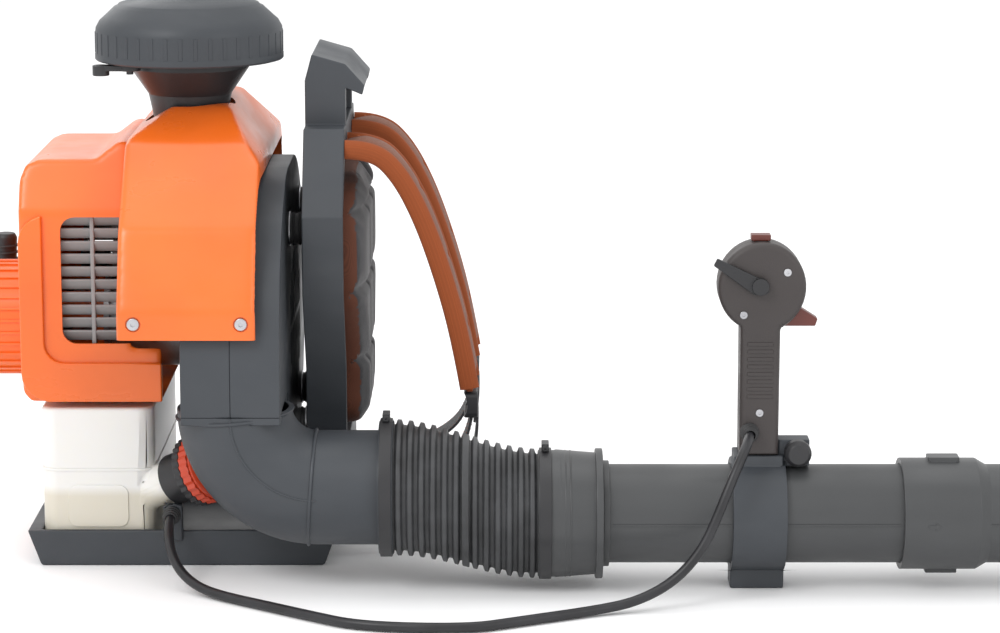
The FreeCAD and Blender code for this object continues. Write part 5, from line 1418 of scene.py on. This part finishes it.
# ---------------------------------------------------------------- back pad, handle and pipes
class BLOWER_OT_back_pad(bpy.types.Operator):
    """Makes the back pad: a swollen foam panel with sewn channels and a coloured border"""
    bl_idname = "blower.back_pad"
    bl_label = "Back pad"

    def execute(self, context):
        low, high = corners("back_pad")
        swell = context.scene.blower_soft.pad_swell
        half, inset = high.y, 0.006
        outline = mirrored([(half - 0.04 - inset, low.z + inset), (half - 0.04 - inset, low.z + 0.066),
                            (half - inset, low.z + 0.136), (half - inset, low.z + 0.199),
                            (half - 0.04 - inset, high.z - inset)])
        pad = outline_plate(outline, "YZ", low.x + 0.001, high.x - swell, "back_pad_sewn")
        round_edges(pad, 0, 0.022)
        soften(pad, 0.006, 3, 40)
        modify(pad, "REMESH", mode="VOXEL", voxel_size=0.0055)
        self.swell(pad, low.x + 0.0006, high.x + 0.001, swell)
        modify(pad, "SUBSURF", levels=1)
        self.channels(pad, low)
        paint(pad, "pad_fabric")
        pad.data.materials.append(material("border"))
        for face in pad.data.polygons:
            face.material_index = 1 if abs(face.normal.x) < 0.55 else 0
        hand_over(pad, pad.name, "root", None, ["back_pad"], 80, "pad_fabric")
        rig.padded(pad, 0.7)
        return {"FINISHED"}

    def swell(self, pad, floor, ceiling, limit):
        """Blows the pad up as cloth, with each point's move held to a limit."""
        rest = [point.co.copy() for point in pad.data.vertices]
        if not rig.quick():
            scene = bpy.context.scene
            select(pad)
            cloth = pad.modifiers.new("Cloth", "CLOTH")
            cloth.settings.quality = 4
            cloth.settings.use_pressure = True
            cloth.settings.uniform_pressure_force = 4
            cloth.settings.effector_weights.gravity = 0
            for step in range(1, 21):
                scene.frame_set(step)
            bpy.ops.object.modifier_apply(modifier=cloth.name)
            scene.frame_set(1)
        for point, start in zip(pad.data.vertices, rest):
            move = point.co - start
            if move.length > limit:
                point.co = start + move.normalized() * limit
            point.co.x = min(max(point.co.x, floor), ceiling)

    def channels(self, pad, low):
        """Sewn channels across the front of the pad."""
        across = (low.z + 0.07, low.z + 0.135, low.z + 0.2)
        for point in pad.data.vertices:
            if point.normal.x > 0.35:
                nearest = min(abs(point.co.z - level) for level in across)
                middle = abs(abs(point.co.y) - 0.036)
                dip = math.exp(-(nearest / 0.0045) ** 2) + math.exp(-(middle / 0.0045) ** 2)
                point.co.x -= 0.0055 * min(dip, 1)


class BLOWER_OT_control_handle(bpy.types.Operator):
    """Makes the control handle's two rounded shells, with their ribs, seam and screws"""
    bl_idname = "blower.control_handle"
    bl_label = "Control handle"

    def execute(self, context):
        low, high = corners("handle_right_shell")[0], corners("handle_left_shell")[1]
        seam = (low.y + high.y) / 2
        for node, inner, outer in (("handle_right_shell", seam - 0.0002, low.y),
                                   ("handle_left_shell", seam + 0.0002, high.y)):
            shell = self.shell(low, high, inner, outer)
            side = -1 if outer < inner else 1
            extra = []
            for index in range(8):
                level = low.z + 0.048 + 0.0062 * index
                near, far = sorted((outer - side * 0.001, outer + side * 0.0008))
                extra.append(soften(block((0.4555, near, level), (0.4765, far, level + 0.0032)), 0.0007, 2))
            hand_over([smooth(shell, 40), *smooth_all(extra)], node + "_finished", "blower_tube", "grip",
                      [node], 40, slot_of(node))
        screws = [screw_head((x, low.y + 0.0003, z), (0, -1, 0), 0.0032, 0.0014)
                  for x, z in ((0.466, low.z + 0.036), (0.452, low.z + 0.117), (0.487, low.z + 0.152))]
        hand_over(screws, "handle_screws", "blower_tube", "steel")
        return {"FINISHED"}

    def shell(self, low, high, inner, outer):
        """One half: an upright stalk that swells into a round head."""
        middle, level = (low.x + high.x) / 2, high.z - 0.037
        wide, tall = (high.x - low.x) / 2, 0.037
        points = [(middle + 0.015, low.z)]
        for index in range(41):
            angle = math.radians(-64.8 + 305.9 * index / 40)
            points.append((middle + wide * math.cos(angle), level + tall * math.sin(angle)))
        points.append((middle - 0.017, low.z))
        near, far = sorted((inner, outer))
        shell = outline_plate(points, "XZ", near, far)
        neck = level - tall * 0.86
        round_edges(shell, 1, 0.012, lambda place: abs(place.z - neck) < 0.004)
        bevel_edges(shell, lambda place, direction: abs(place.y - outer) < 0.0001, 0.0052, 5)
        slot = block((middle + 0.0035, -0.172, low.z + 0.1062), (high.x + 0.01, -0.158, low.z + 0.131))
        return cut_by(shell, slot)


class BLOWER_OT_outlet_elbow(bpy.types.Operator):
    """Makes the outlet elbow with its end beads and mould seams"""
    bl_idname = "blower.outlet_elbow"
    bl_label = "Outlet elbow"

    def execute(self, context):
        turn = Vector((0.106, HOSE_Y, corners("outlet_elbow")[1].z))
        bend, radius = 0.068, 0.047
        details = []
        for degrees in (4, 86):
            angle = math.radians(180 + degrees)
            place = turn + Vector((math.cos(angle), 0, math.sin(angle))) * bend
            along = Vector((-math.sin(angle), 0, math.cos(angle)))
            details.append(ring_of(place, along, 0.0015, radius + 0.0003, steps=(96, 10)))
        for depth in (-radius, radius):
            rib = ring_of(turn + Vector((0, depth, 0)), (0, 1, 0), 0.0009, bend, steps=(160, 10))
            quarter = block((turn.x - 0.12, turn.y - 0.06, turn.z - 0.12), (turn.x, turn.y + 0.06, turn.z))
            details.append(cut_by(rib, quarter, operation="INTERSECT"))
        dress("outlet_elbow", "dark_moulding", 0.0008, 2, details)
        return {"FINISHED"}


class BLOWER_OT_blower_tube(bpy.types.Operator):
    """Makes the cuff and the tube's three lengths, with mould seams, grip rings and lock arrows"""
    bl_idname = "blower.blower_tube"
    bl_label = "Blower tube"

    def execute(self, context):
        radius = 0.0405
        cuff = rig.box("swivel_cuff")
        rings = [ring_of((cuff[0][0] + place, HOSE_Y, TUBE.z), (1, 0, 0), 0.0009, 0.0519 - place * 0.025)
                 for place in (0.0185, 0.0225, 0.0265)]
        dress("swivel_cuff", "tube_plastic", 0.0009, 2, rings)
        for node, start, end in (("swivel_pipe", 0.346, 0.58), ("extension_pipe", 0.647, 0.846)):
            seams = []
            for turn in (-1, 1):
                near, far = sorted((turn * radius, turn * (radius + 0.0006)))
                seam = block((start, HOSE_Y + near - 0.0002, TUBE.z - 0.0007),
                             (end, HOSE_Y + far, TUBE.z + 0.0007))
                seams.append(soften(seam, 0.0003, 2))
            dress(node, "tube_plastic", 0.0006, 2, seams)
        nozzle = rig.box("nozzle")
        rings = [ring_of((nozzle[1][0] - place, HOSE_Y, TUBE.z), (1, 0, 0), 0.0008, 0.0341)
                 for place in (0.008, 0.013)]
        dress("nozzle", "tube_plastic", 0.0006, 2, rings)
        self.arrows()
        return {"FINISHED"}

    def arrows(self):
        """Raised arrows that show which way each coupling turns to lock."""
        for name, place in (("rear_coupling_arrow", 0.607), ("front_coupling_arrow", 0.874)):
            outline = [(place - 0.005, -0.0012), (place + 0.001, -0.0012), (place + 0.001, -0.0032),
                       (place + 0.0055, 0), (place + 0.001, 0.0032), (place + 0.001, 0.0012),
                       (place - 0.005, 0.0012)]
            outline = [(u, TUBE.z + v) for u, v in outline]
            arrow = outline_plate(outline, "XZ", HOSE_Y - 0.0463, HOSE_Y - 0.0452)
            hand_over(soften(arrow, 0.0002, 2), name, "blower_tube", "tube_plastic")


class BLOWER_OT_mount_washers(bpy.types.Operator):
    """Makes the vibration mounts' ribbed rubber and their steel end plates"""
    bl_idname = "blower.mount_washers"
    bl_label = "Mount washers"

    def execute(self, context):
        low, high = corners("vibration_mounts")
        plates, ribs = [], []
        for y in (low.y + 0.013, high.y - 0.013):
            for z in (low.z + 0.013, high.z - 0.013):
                for start, end in ((low.x + 0.0002, low.x + 0.0018), (high.x - 0.0018, high.x - 0.0002)):
                    plates.append(soften(cylinder((start, y, z), (end, y, z), 0.0145, 48), 0.0005, 2))
                for place in (low.x + 0.0045, low.x + 0.0095):
                    ribs.append(ring_of((place, y, z), (1, 0, 0), 0.0013, 0.0128, steps=(48, 8)))
        dress("vibration_mounts", "rubber_black", 0.0008, 2, ribs)
        hand_over(plates, "mount_plates", "root", "steel")
        return {"FINISHED"}


# ---------------------------------------------------------------- add-on
class BLOWER_PT_panel(bpy.types.Panel):
    """Lists the blower's pieces in the sidebar"""
    bl_idname = "BLOWER_PT_panel"
    bl_label = "Backpack blower"
    bl_space_type = "VIEW_3D"
    bl_region_type = "UI"
    bl_category = "Blower"

    def draw(self, context):
        for name in SETTINGS:
            box = self.layout.box()
            settings = getattr(context.scene, name)
            for prop in settings.__annotations__:
                box.prop(settings, prop)
        for operator in OPERATORS:
            self.layout.operator(operator.bl_idname)


SETTINGS = {"blower_shells": ShellSettings, "blower_hose": HoseSettings, "blower_soft": SoftSettings,
            "blower_colours": ColourSettings}
OPERATORS = [thing for name, thing in list(globals().items()) if name.startswith("BLOWER_OT_")]


def register():
    for thing in (*SETTINGS.values(), *OPERATORS, BLOWER_PT_panel):
        bpy.utils.register_class(thing)
    for name, thing in SETTINGS.items():
        setattr(bpy.types.Scene, name, PointerProperty(type=thing))


def unregister():
    for name in SETTINGS:
        delattr(bpy.types.Scene, name)
    for thing in reversed((*SETTINGS.values(), *OPERATORS, BLOWER_PT_panel)):
        bpy.utils.unregister_class(thing)


def main():
    register()
    for operator in OPERATORS:
        group, name = operator.bl_idname.split(".")
        getattr(getattr(bpy.ops, group), name)()
    clear_selection()
    sizes = {"cad": [list(corner) for corner in CAD_BOX], "visual": [list(corner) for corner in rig.bounds()]}
    with open("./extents.json", "w") as file:
        json.dump(sizes, file)


if __name__ == "__main__":
    main()
